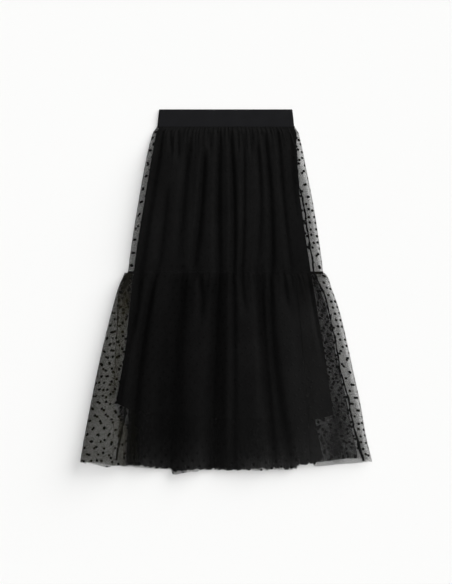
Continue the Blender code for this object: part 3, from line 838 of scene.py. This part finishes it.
NET = net_material("dotted_net", 0.37, (0.0082, 0.0081, 0.0080), (0.0135, 0.0120, 0.0060, 1.0))
DENSE_NET = net_material("gathered_net", 0.84, (0.0066, 0.0066, 0.0067),
                         (0.0098, 0.0094, 0.0050, 1.0))
LINING = lining_material()
ELASTIC = elastic_material()
FLOCK = plain_material("flock", (0.0062, 0.0062, 0.0061), 0.95, 0.03, with_painted_shading=True)
THREAD = plain_material("thread", (0.004, 0.004, 0.0042), 0.85, 0.08)


# ---------------------------------------------------------------- net panels

def teeth(x, seed, spacing, height):
    """Irregular small teeth of a raw edge, most of them short."""
    places = np.arange(-340.0, 340.0, spacing)
    heights = height * np.random.default_rng(seed).uniform(0.0, 1.0, len(places)) ** 2
    return np.interp(x, places, heights)


def hem_fray(x):
    """Uneven raw cut of the net's hem."""
    fine = 0.4 * np.sin(x / 1.9 + 1.0) * np.sin(x / 17.0) + 0.3 * np.sin(x / 3.7 + 0.5)
    torn = smoothstep(-60, 20, x) * fall(165, 210, x)
    return fine + torn * (0.8 - teeth(x, 5, 3.1, 3.4))


def row_shares(first, growth, last, total):
    """Shares of the length of rows that start close together and grow apart."""
    places = [0.0]
    step = first
    while places[-1] + step < total:
        places.append(places[-1] + step)
        step = min(step * growth, last)
    places.append(total)
    return np.array(places) / total


class Sheet:
    """A grid of points that can place things by their coordinates on the cloth."""

    def __init__(self, x, y, z, along, below):
        self.points = np.stack([x, y, z], axis=-1)
        self.along = along
        self.below = below

    def at(self, u, v, lift):
        """Points on the cloth at u along and v below the seam, lifted off its face."""
        rows, columns = self.points.shape[:2]
        c = np.clip(np.interp(u, self.along, np.arange(columns)), 0, columns - 1.001)
        c0 = c.astype(int)
        fc = c - c0
        below = self.below[:, c0] * (1 - fc) + self.below[:, c0 + 1] * fc
        share = np.clip(v / below[-1], 0.0, 1.0)
        shares = self.below[:, 0] / self.below[-1, 0]
        r = np.clip(np.interp(share, shares, np.arange(rows)), 0, rows - 1.001)
        r0 = r.astype(int)
        fr = (r - r0)[:, None]
        fc = fc[:, None]
        p00 = self.points[r0, c0]
        p01 = self.points[r0, c0 + 1]
        p10 = self.points[r0 + 1, c0]
        p11 = self.points[r0 + 1, c0 + 1]
        place = (p00 * (1 - fr) * (1 - fc) + p01 * (1 - fr) * fc + p10 * fr * (1 - fc)
                 + p11 * fr * fc)
        normal = np.cross(p10 - p00, p01 - p00)
        normal = normal / np.maximum(np.linalg.norm(normal, axis=1, keepdims=True), 1e-9)
        return place + normal * np.asarray(lift)[:, None]


# Painted shade and light: slow drift of the lower tier's colour across its front
PaintedShade = namedtuple("PaintedShade", "x tone")
LOWER_PAINTED_SHADE = table(PaintedShade, (
    (-230, 0.66), (-120, 0.60), (-40, 0.80), (40, 0.92), (110, 1.02), (165, 1.34), (215, 1.58),
    (260, 1.3),
))

# Painted light: how much the light from below lifts the hem's shade across the front
HemGlow = namedtuple("HemGlow", "x glow")
HEM_GLOWS = table(HemGlow, (
    (-230, 1), (-132, 0.9), (-120, 0.25), (-108, 0.3), (-98, 0.8), (-60, 0.75), (-30, 0.15),
    (25, 0.2), (42, 0.7), (80, 0.75), (120, 0.55), (150, 0.5), (200, 0.3), (260, 0),
))

# Painted shadows, soft darker places: centre, half width, half height and depth
PaintedShadow = namedtuple("PaintedShadow", "x down half_width half_height depth")
UPPER_PAINTED_SHADOWS = table(PaintedShadow, (
    (152, 150, 11, 80, 0.25), (-6, 230, 9, 120, 0.15),
))
LOWER_PAINTED_SHADOWS = table(PaintedShadow, (
    (-90, 405, 23, 44, 0.42), (-146, 600, 24, 130, 0.28), (-5, 520, 12, 200, 0.44),
    (-27, 560, 20, 200, 0.30), (82, 470, 11, 70, 0.34), (-36, 400, 16, 30, 0.25),
))


def bump_at(value, centre, half_width):
    """A smooth hump: 1 at its centre, 0 far away."""
    away = (value - centre) / half_width
    return np.exp(-away * away)


def painted_shadows_at(shadows, x, down):
    """Share of the colour that the painted shadows leave."""
    left = np.ones(np.broadcast(x, down).shape)
    for shadow in shadows:
        left = left * (1.0 - shadow.depth * bump_at(x, shadow.x, shadow.half_width)
                       * bump_at(down, shadow.down, shadow.half_height))
    return left


def hem_glow(x, down):
    """Painted light: how much lighter the cloth's colour is made near the hem."""
    rise = 0.55 * smoothstep(722, 772, down) + 1.9 * smoothstep(776, 808, down)
    return rise * read_table(HEM_GLOWS, "x", "glow", x)


def painted_shading_at(tier, x, down, glow=1.0):
    """Slow painted shade and light in the cloth's colour: duller in the troughs and low on the
    left, lighter near the hem.
    """
    if tier is UPPER:
        # painted shade: darker in the upper tier's troughs and towards the tier seam
        tone = 0.82 + 0.12 * smoothstep(0.0, 0.9, folds_left(tier, x, down))
        tone = tone * (1.0 - 0.10 * smoothstep(300, 365, down))
        return tone * painted_shadows_at(UPPER_PAINTED_SHADOWS, x, down)
    left = np.where(down < TIER_SEAM, 1.0, folds_left(tier, x, down))
    # painted shade and light drifting across the lower front: darker just below the tier seam,
    # lighter low on the right
    drift = read_table(LOWER_PAINTED_SHADE, "x", "tone", x)
    drift = blend(0.68, drift, smoothstep(TIER_SEAM, 480.0, down))
    drift = drift * (1.0 + 0.35 * smoothstep(640, 740, down) * smoothstep(150, 200, x))
    # painted light along the right pleat's hidden fold, evening out the shaded line there
    painted_fold_light = bump_at(x, read_table(RIGHT_PLEAT, "down", "inner", down), 1.8)
    drift = drift * (1.0 + 0.22 * painted_fold_light * smoothstep(520, 600, down))
    # painted light near the hem, uneven in streaks
    streaks = 1.0 + 0.35 * soft_noise(x, down, 81, 5.0, 60.0, 2)
    drift = drift * (1.0 + glow * hem_glow(x, down) * streaks)
    # painted shade: duller in the troughs, and under the painted shadows
    return (0.70 + 0.30 * smoothstep(0.0, 0.9, left)) * drift * painted_shadows_at(LOWER_PAINTED_SHADOWS, x, down)


def left_layers(x, down, left):
    """Crowding by the seam allowances and the folded edge that lie under the left margin."""
    seam = seam_x("left", down)
    before_body = fall(0, 6, x - left)
    allowance = smoothstep(-1.5, 1.5, x + 239.0 + 0.06 * (down - 675.0))
    allowance = allowance * smoothstep(-1.5, 1.5, seam - x)
    allowance = allowance * smoothstep(668, 674, down) * fall(735, 752, down)
    inside = smoothstep(-1.5, 1.5, x - seam) * smoothstep(668, 680, down)
    inside = inside * (0.35 + 0.75 * smoothstep(-10, -3, x - left))
    doubled = 0.5 + 0.95 * fall(425, 500, down)
    doubled = doubled * smoothstep(-22, -15, x - left) * fall(640, 660, down)
    return 1.9 * allowance + (inside + doubled) * before_body


def fullness_at(tier, x, down):
    """How crowded the net is: gathers crowd it, and a stretched side fold opens it."""
    full = 1.0 + 0.55 * fall(0, 26, down - tier.top)
    _, right = body_edges(down)
    left_edge, right_edge = edges_at(tier.edges, down)
    lining_left, _ = edges_at(LINING_EDGES, down)
    flounce_left, _ = edges_at(FLOUNCE_EDGES, down)
    left = blend(lining_left, flounce_left, smoothstep(655, 668, down))
    on_left = fall(-10, 10, x - left)
    beyond = smoothstep(-6, 4, x - seam_x("right", down))
    reach = 12.0 + 8.0 * fall(110, 180, down)
    taut = beyond * fall(0.35 * reach, reach, right_edge - x)
    turn = fall(3, 9, x - left_edge)
    if tier is UPPER:
        return full + 0.05 * on_left - 0.42 * turn - 0.10 * beyond - 0.42 * taut
    on_left = on_left * (1.0 + 0.28 * smoothstep(450, 650, down))
    tucked = bump_at(x, 250.0, 13.0) * smoothstep(655, 700, down)
    pleated = smoothstep(0, 5, x - right) * (1.0 - beyond) * (
        1.0 - 0.80 * smoothstep(400, 470, down) - 0.20 * smoothstep(560, 620, down))
    flap = smoothstep(-126, -121, x) * fall(-92, -84, x)
    flap = flap * smoothstep(810, 816, down)
    full = full + 0.30 * on_left - 0.50 * turn - 0.08 * beyond - 0.40 * taut
    return full + 0.9 * flap + 0.75 * tucked + 0.45 * pleated + left_layers(x, down, left)


def warmth_at(x, down):
    """How much painted warm light the net's threads take: warm in the see-through margins, not over
    the body.
    """
    left, right = body_edges(down)
    on_left = 0.95 * smoothstep(0, 5, left - x) * (0.3 + 0.7 * smoothstep(390, 450, down))
    on_left = on_left * (1.0 - 0.6 * bump_at(x, seam_x("left", down), 6.0))
    on_right = 0.6 * smoothstep(-2, 4, x - seam_x("right", down))
    return np.maximum(on_left, on_right * smoothstep(0, 4, x - right))


def cloth_piece(name, x, y, z, u, v, material, values):
    """A sheet of cloth, from grids of its points and of their places on the cloth."""
    uv = np.stack([np.broadcast_to(u, x.shape), v], axis=-1)
    return make_mesh(name, np.stack([x, y, z], axis=-1), grid_faces(*x.shape), uv, material, values)


def net_sheet(tier, panel):
    """One net panel, and the sheet that its dots are placed on."""
    rows = row_shares(2.0, 1.06, 6.0, tier.length)
    x, y, z, along, below = net_path(tier, panel, rows)
    down = WAIST_Y - y
    # the front carries the painted shade and light; the back is left even
    values = {"tone": painted_shading_at(tier, x, down) if panel == "front" else np.ones(x.shape),
              "fullness": fullness_at(tier, x, down), "warmth": warmth_at(x, down)}
    name = tier.name + "_" + panel + "_net"
    obj = cloth_piece(name, x, y, z, along, below, NET, values)
    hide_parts(tier.name + "_" + panel)
    return obj, Sheet(x, y, z, along, below)


# How far each panel's rows of dots run off the cloth's length
OFF_GRAIN = {"upper_front_dots": 0.0, "upper_back_dots": -0.07, "lower_front_dots": 0.06,
             "lower_back_dots": -0.05}


def dot_places(sheet, name, seed, source):
    """Places of the dots on the cloth: staggered rows, a little off grain and slowly drifting."""
    start_u = DOT_PITCH * source.uniform(0.0, 1.0)
    start_v = DOT_ROW * source.uniform(0.3, 0.9)
    if name == "upper_front_dots":
        turn_middle = WRAP_STEPS + TURN_STEPS // 2
        start_u = sheet.along[turn_middle] + 2.0
    rows, steps = np.meshgrid(np.arange(-8, 48), np.arange(-4, 50), indexing="ij")
    u = start_u % DOT_PITCH + DOT_PITCH * (steps + 0.5 * (rows % 2))
    v = start_v + DOT_ROW * rows
    slant = OFF_GRAIN[name]
    places = np.stack([u + slant * v, v - slant * u], axis=-1).reshape(-1, 2)
    places = places + source.normal(0.0, DOT_JITTER, places.shape)
    drift_u = 4.0 * soft_noise(places[:, 0], places[:, 1], seed + 1, 40.0, 36.0, 2)
    drift_v = 3.6 * soft_noise(places[:, 0], places[:, 1], seed + 2, 22.0, 60.0, 2)
    return places + np.stack([drift_u, drift_v], axis=-1)


def crumple(sheet, places, source):
    """Scatter and thin the dots where the lower front is folded at its left and right."""
    measured_x = sheet.points[int(MEASURED_ROW * len(sheet.points)), :, 0]
    right_start = sheet.along[np.argmax(measured_x > 190.0)]
    right_end = sheet.along[-1] - 34.0
    pleat = WRAP_STEPS + TURN_STEPS + MARGIN_STEPS
    left_start = sheet.along[pleat - 6]
    left_end = sheet.along[pleat + LEFT_PLEAT_STEPS + 6]
    u = places[:, 0]
    crumpled = ((u > right_start) & (u < right_end)) | ((u > left_start) & (u < left_end))
    places = places + crumpled[:, None] * source.uniform(-1.0, 1.0, places.shape) * (2.6, 4.0)
    return places[~crumpled | (source.uniform(0.0, 1.0, len(places)) > 0.36)]


def dots_on(sheet, name, tier, seed):
    """Flocked dots: low domes on the cloth's outer face."""
    source = np.random.default_rng(seed)
    places = dot_places(sheet, name, seed, source)
    if name == "lower_front_dots":
        places = crumple(sheet, places, source)
    ends = np.interp(places[:, 0], sheet.along, sheet.below[-1])
    past_hem = -6.0 if name == "lower_back_dots" else 1.2
    keep = (places > DOT_EDGE).all(axis=1) & (places[:, 1] < ends + past_hem)
    places = places[keep & (places[:, 0] < sheet.along[-1] - DOT_EDGE)]
    angles = np.arange(DOT_SIDES) * 2.0 * math.pi / DOT_SIDES
    dome_points = [(0.0, 0.0, 0.42)]
    for share, lift in ((0.66, 0.36), (1.0, 0.04)):
        dome_points += [(share * math.cos(a), share * math.sin(a), lift) for a in angles]
    dome_points = np.array(dome_points)
    radius = DOT_SIZE / 2.0 * source.uniform(0.94, 1.06, len(places))
    flat = np.zeros(len(places))
    reach = 2.0
    spans = []
    for step in ((reach, 0.0), (0.0, reach)):
        ahead = sheet.at(*(places + step).T, flat)
        behind = sheet.at(*(places - step).T, flat)
        spans.append(np.linalg.norm(ahead - behind, axis=1) / (2.0 * reach))
    wide = (radius / np.clip(spans[0], 0.45, 1.4))[:, None]
    tall = (radius / np.clip(spans[1], 0.8, 1.3))[:, None]
    u = (places[:, 0, None] + dome_points[:, 0] * wide).ravel()
    v = (places[:, 1, None] + dome_points[:, 1] * tall).ravel()
    points = sheet.at(u, v, np.tile(dome_points[:, 2], len(places)))
    faces = []
    for k in range(DOT_SIDES):
        here, beside = 1 + k, 1 + (k + 1) % DOT_SIDES
        faces += [(0, here, beside), (here, here + DOT_SIDES, beside + DOT_SIDES),
                  (here, beside + DOT_SIDES, beside)]
    firsts = np.arange(len(places)) * len(dome_points)
    all_faces = (np.array(faces) + firsts[:, None, None]).reshape(-1, 3)
    # the dots take the painted shade of the troughs, without the painted hem light
    tone = painted_shading_at(tier, points[:, 0], WAIST_Y - points[:, 1], 0.0)
    obj = make_mesh(name, points, all_faces, None, FLOCK, {"tone": tone})
    return obj


net_objects = {}
seed = 40
for tier in (UPPER, LOWER):
    for panel in ("front", "back"):
        key = tier.name + "_" + panel
        net_objects[key], sheet = net_sheet(tier, panel)
        dots_on(sheet, key + "_dots", tier, seed)
        seed += 1


# ---------------------------------------------------------------- lining and flounce

def inner_grid(edges, hem, column_count, rows, height):
    """Grid of points of an inner layer whose side edges and hem are given."""
    share = np.linspace(0.0, 1.0, column_count)[None, :]
    left, right = edges_at(edges, edges[-1].down)
    ends = read_table(hem, "x", "down", blend(left, right, share))
    down = blend(edges[0].down, ends, rows[:, None])
    x = blend(*edges_at(edges, down), share)
    return x, WAIST_Y - down, height(x, down, share), down


def across_seam(upper, lower, down):
    """Go over from the upper tier's value to the lower one's at the tier seam."""
    return blend(upper, lower, smoothstep(355, 383, down))


def lining_sheet(name, height):
    rows = row_shares(3.0, 1.1, 9.0, 640.0)
    x, y, z, down = inner_grid(LINING_EDGES, LINING_HEM, 180, rows, height)
    # painted shade and light of both tiers, blended across the tier seam
    tone = across_seam(painted_shading_at(UPPER, x, down), painted_shading_at(LOWER, x, down), down)
    obj = cloth_piece(name + "_cloth", x, y, z, x, down, LINING, {"tone": tone})
    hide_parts(name)
    return obj


# Heights of the inner layers at x and down; share goes from 0 at the left edge to 1 at the right
def lining_front_height(x, down, share):
    top = LINING_FRONT_TOP + LINING_HEM_LIFT * smoothstep(520, 640, down)
    loft = across_seam(body_loft(UPPER, x, down, INNER_LOFT), body_loft(LOWER, x, down, INNER_LOFT),
                       down)
    left, right = edges_at(LINING_EDGES, down)
    loft = loft * smoothstep(0.0, LEFT_SHOULDER, x - left) * flank(right - x, RIGHT_SHOULDER)
    return top - LINING_INSET + loft + 0.25 * soft_noise(x, down, 51, 18.0, 90.0, 2)


def lining_back_height(x, down, share):
    return np.full(x.shape, LINING_BACK_TOP - SHEET_INSET)


def flounce_back_height(x, down, share):
    return FLOUNCE_BACK_TOP - SHEET_INSET - FLOUNCE_BACK_DROP * smoothstep(715, 765, down)


def flounce_front_height(x, down, share):
    index = gather_at(share, FLOUNCE_WAVES, 1.9)
    ripple = 0.3 * np.sin(8.0 * math.pi * index)
    rise = (FLOUNCE_WAVE * hump(index) + ripple) * smoothstep(705, 785, down)
    left, right = edges_at(FLOUNCE_EDGES, down)
    near = smoothstep(0, 14, x - left) * smoothstep(0, 14, right - x)
    floor = flounce_back_height(x, down, share) + LAY_GAP + NET_WALL
    return floor + rise + near * body_loft(LOWER, x, down, INNER_LOFT)


def torn_hem(x):
    """Height of the small irregular teeth along the flounce's raw hem."""
    torn = 0.8 + 0.4 * smoothstep(40, 120, x) + 0.3 * bump_at(x, -165.0, 40.0)
    return torn * (teeth(x, 6, 3.4, 5.5) + teeth(x, 8, 11.0, 2.2)) - 2.6


def flounce_sheet(name, height, columns):
    rows = row_shares(3.0, 1.05, 5.0, 160.0)
    x, y, z, down = inner_grid(FLOUNCE_EDGES, FLOUNCE_HEM, columns, rows, height)
    y = y + torn_hem(x) * smoothstep(0.9, 1.0, rows)[:, None]
    near_hem = smoothstep(0.58, 0.98, rows)[:, None]
    streaks = soft_noise(x, down, 71, 4.0, 38.0, 3)
    patches = smoothstep(0.35, 1.2, soft_noise(x, down, 72, 16.0, 22.0, 2))
    # painted light near the flounce's hem: lighter in streaks and patches
    tone = painted_shading_at(LOWER, x, down) * (1.0 + near_hem * (0.5 + 0.6 * streaks + 3.5 * patches))
    full = 1.0 - near_hem * (0.12 + 0.10 * streaks + 0.35 * patches)
    full = full - 0.35 * smoothstep(800, 812, down) * read_table(HEM_GLOWS, "x", "glow", x)
    full = full - 0.45 * bump_at(x, -100.0, 16.0) * smoothstep(812, 820, down)
    # the flounce's left end is sheerer, and its threads take painted warm light there
    sheer = fall(-208, -192, x)
    values = {"tone": np.clip(tone, 0.2, 9.0), "fullness": np.clip(full - 0.2 * sheer, 0.3, 1.2),
              "warmth": 0.8 * sheer * (0.4 + 0.6 * smoothstep(690, 730, down))}
    obj = cloth_piece(name + "_net", x, y, z, x * 1.6, down, DENSE_NET, values)
    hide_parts(name)
    return obj


lining_front = lining_sheet("lining_front", lining_front_height)
lining_back = lining_sheet("lining_back", lining_back_height)
flounce_front = flounce_sheet("flounce_front", flounce_front_height, 360)
flounce_back = flounce_sheet("flounce_back", flounce_back_height, 300)


# ---------------------------------------------------------------- waistband

BAND_FRONT_STEPS = 120
BAND_TURN_STEPS = 10
BAND_BACK_STEPS = 60


def band_section(left, right, height, wall):
    """Closed outer section of the flattened band, inset by wall."""
    low = left + height / 2.0
    high = right - height / 2.0
    share = np.arange(BAND_FRONT_STEPS) / BAND_FRONT_STEPS
    x = blend(low, high, share)
    front = x, height - wall + 0.12 * np.sin(x / 9.0) * np.sin(math.pi * share)
    turn = np.arange(BAND_TURN_STEPS) / BAND_TURN_STEPS
    back = blend(high, low, np.arange(BAND_BACK_STEPS) / BAND_BACK_STEPS)
    return np.concatenate([front, turn_point(high, height, wall, 1, turn),
                           (back, np.full(BAND_BACK_STEPS, wall)),
                           turn_point(low, height, wall, -1, turn)], axis=1).T


def waistband():
    """Elastic band: outer face, rolled selvedge edges and inner face as one thin wall."""
    rows = []
    uvs = []
    outer = [(0.0, 0.55), (0.15, 0.25), (0.6, 0.06), (1.6, 0.0), (2.6, 0.05), (3.4, 0.0)]
    outer += [(d, 0.0) for d in np.linspace(5.0, 34.5, 18)]
    outer += [(36.0, 0.0), (37.2, 0.06), (38.4, 0.0), (39.2, 0.10), (39.6, 0.35), (39.7, 0.7)]
    inner = [(d, BAND_WALL) for d in (39.3, 30.0, 20.0, 10.0, 0.4)]
    for down, wall in outer + inner:
        left, right = edges_at(BAND_EDGES, down)
        height = blend(BAND_TOP_HEIGHT, BAND_FOOT_HEIGHT, down / BAND_HEIGHT)
        line = band_section(left, right, height, wall)
        level = np.full(len(line), down)
        rows.append(np.stack([line[:, 0], WAIST_Y - level, np.maximum(line[:, 1], wall)], axis=1))
        uvs.append(np.stack([along_line(line), level], axis=1))
    count, around = len(rows), len(rows[0])
    faces = grid_faces(count + 1, around, closed=True) % (count * around)
    obj = make_mesh("waistband_elastic", rows, faces, uvs, ELASTIC)
    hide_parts("waistband")
    return obj


band = waistband()


# ---------------------------------------------------------------- seams

def ribbon(name, centre, width, lift):
    """A low rounded strip along a line of points, as wide as given at each of them."""
    tangent = np.gradient(centre, axis=0)
    tangent[:, 2] = 0.0
    tangent /= np.linalg.norm(tangent, axis=1, keepdims=True)
    side = np.stack([-tangent[:, 1], tangent[:, 0], tangent[:, 2]], axis=1)
    profile = [(-0.5, 0.0), (-0.38, 0.7), (0.0, 1.0), (0.38, 0.7), (0.5, 0.0), (0.0, -0.2)]
    rows = []
    for across, up in profile:
        row = centre + side * (across * width)[:, None]
        row[:, 2] += up * lift
        rows.append(row)
    faces = grid_faces(len(centre), len(profile), closed=True)
    obj = make_mesh(name, np.stack(rows, axis=1), faces, None, THREAD)


def side_seam(tier, side):
    """The seam's dense allowance: on the front at the right, on the back at the left."""
    end = HEM_CORNER - 1.0 if tier is LOWER else tier.top + tier.length - 1.0
    down = np.arange(tier.top + 1.0, end, 1.6)
    barbs = (0.5 + 0.5 * np.sin(down / 4.3 + 1.7 * np.sin(down / 19.0))) ** 8
    width = 3.3 + 1.0 * np.sin(down / 2.9) * np.sin(down / 13.0) + 2.0 * barbs
    if side == "right":
        z = fold_height(down) - SHEET_INSET + 0.05
        width = width + 2.6 * smoothstep(715, 755, down)
    else:
        z = np.full(len(down), SHEET_INSET + 0.15)
        width = width + 1.2
    wander = (0.55 * np.sin(down / 7.3) + 0.45 * np.sin(down / 17.0 + 1.0)
              + 0.25 * np.sin(down / 3.1))
    line = np.stack([seam_x(side, down) + wander, WAIST_Y - down, z], axis=1)
    ribbon(tier.name + "_" + side + "_seam", line, width, 0.9)


def ring_seam(name, down, sunk, profile):
    """A gathered seam all round the flattened skirt, sunk between the gathers in front."""
    low, width = flat_span(UPPER, down)
    high = low + width
    front_x = np.arange(low, high, 1.5)
    front_z = front_height(UPPER, front_x, np.full(len(front_x), max(down, UPPER.top))) - sunk
    back_x = np.arange(high, low, -3.0)
    turn = np.arange(1, 8) / 8.0
    line = np.concatenate([(front_x, front_z), turn_point(high, fold_height(down), 0.0, 1, turn),
                           (back_x, np.full(len(back_x), 0.9)),
                           turn_point(low, left_fold(down), 0.0, -1, turn)], axis=1).T
    along = along_line(line)
    wander = 0.5 * np.sin(along / 5.0) + 0.4 * np.sin(along / 13.0)
    rows = []
    for across, lift in profile:
        pucker = 0.35 * np.sin(along / 1.3 + across)
        y = WAIST_Y - down + across + 0.5 * wander + 0.2 * pucker
        z = np.maximum(line[:, 1] + lift * (0.9 + 0.3 * pucker), 0.1)
        rows.append(np.stack([line[:, 0], y, z], axis=1))
    points = np.stack(rows, axis=1)
    points = np.concatenate([points, points[:1]], axis=0)
    obj = make_mesh(name, points, grid_faces(*points.shape[:2], closed=True), None, THREAD)


# Sections of the ring seams: across the seam and up from it
TIER_PROFILE = ((-2.4, 0.0), (-1.8, 0.7), (-0.4, 1.0), (1.0, 0.9), (2.4, 0.6), (2.9, 0.0),
                (0.0, -0.3))
WAIST_PROFILE = ((-1.3, 0.0), (-0.9, 0.4), (0.0, 0.55), (1.0, 0.4), (1.6, 0.0), (0.0, -0.4))
for side in ("right", "left"):
    side_seam(UPPER, side)
    side_seam(LOWER, side)
ring_seam("tier_seam", 368.8, 1.6, TIER_PROFILE)
ring_seam("waist_seam", 40.1, 0.7, WAIST_PROFILE)


# ---------------------------------------------------------------- floor, light, camera

FLOOR_HALF = 4.0            # metres


def stage_floor():
    """The white surface that the skirt lies on."""
    mesh = bpy.data.meshes.new("floor")
    corners = [(sx * FLOOR_HALF, sy * FLOOR_HALF, 0.0)
               for sx, sy in ((-1, -1), (1, -1), (1, 1), (-1, 1))]
    mesh.from_pydata(corners, [], [(0, 1, 2, 3)])
    floor = bpy.data.objects.new("floor", mesh)
    bpy.context.scene.collection.objects.link(floor)
    material, _, shader = new_material("floor_paper", 1.0, 0.0)
    shader.inputs["Base Color"].default_value = (0.90, 0.90, 0.893, 1.0)
    mesh.materials.append(material)


stage_floor()

# Soft lights in the sky: direction, where the patch fades out and is full, strength
Patch = namedtuple("Patch", "azimuth elevation fade full strength")
PATCHES = table(Patch, (
    (42.0, 88.0, 0.80, 1.08, 5.14), (42.0, 20.0, 0.84, 1.03, 10.0),
))
SKY_STRENGTH = 0.013        # of the sky around the two patches


def studio_light():
    """A sky with a soft patch overhead and a lower one towards the upper right."""
    world = bpy.data.worlds.new("studio")
    world.use_nodes = True
    graph = Graph(world.node_tree)
    direction = graph.node("ShaderNodeTexCoord").outputs["Generated"]
    total = SKY_STRENGTH
    for patch in PATCHES:
        dot = graph.node("ShaderNodeVectorMath")
        dot.operation = "DOT_PRODUCT"
        graph.link(direction, dot.inputs[0])
        a, e = math.radians(patch.azimuth), math.radians(patch.elevation)
        dot.inputs[1].default_value = (math.cos(e) * math.cos(a), math.cos(e) * math.sin(a),
                                       math.sin(e))
        level = graph.node("ShaderNodeMapRange")
        level.interpolation_type = "SMOOTHSTEP"
        graph.link(dot.outputs["Value"], level.inputs["Value"])
        level.inputs["From Min"].default_value = patch.fade
        level.inputs["From Max"].default_value = patch.full
        total = graph.math("MULTIPLY_ADD", level.outputs["Result"], patch.strength, total)
    background = graph.tree.nodes["Background"]
    background.inputs["Color"].default_value = (1.0, 1.0, 1.0, 1.0)
    graph.link(total, background.inputs["Strength"])
    bpy.context.scene.world = world


studio_light()

CAMERA_HEIGHT = 3.666
camera_data = bpy.data.cameras.new("camera")
camera_data.lens = 100.0
camera_data.sensor_width = 36.0
camera_data.sensor_fit = "AUTO"
camera_data.clip_end = 20.0
camera = bpy.data.objects.new("camera", camera_data)
camera.location = (-0.0002, 0.0004, CAMERA_HEIGHT)
bpy.context.scene.collection.objects.link(camera)
bpy.context.scene.camera = camera

bpy.context.scene.view_settings.view_transform = "Standard"
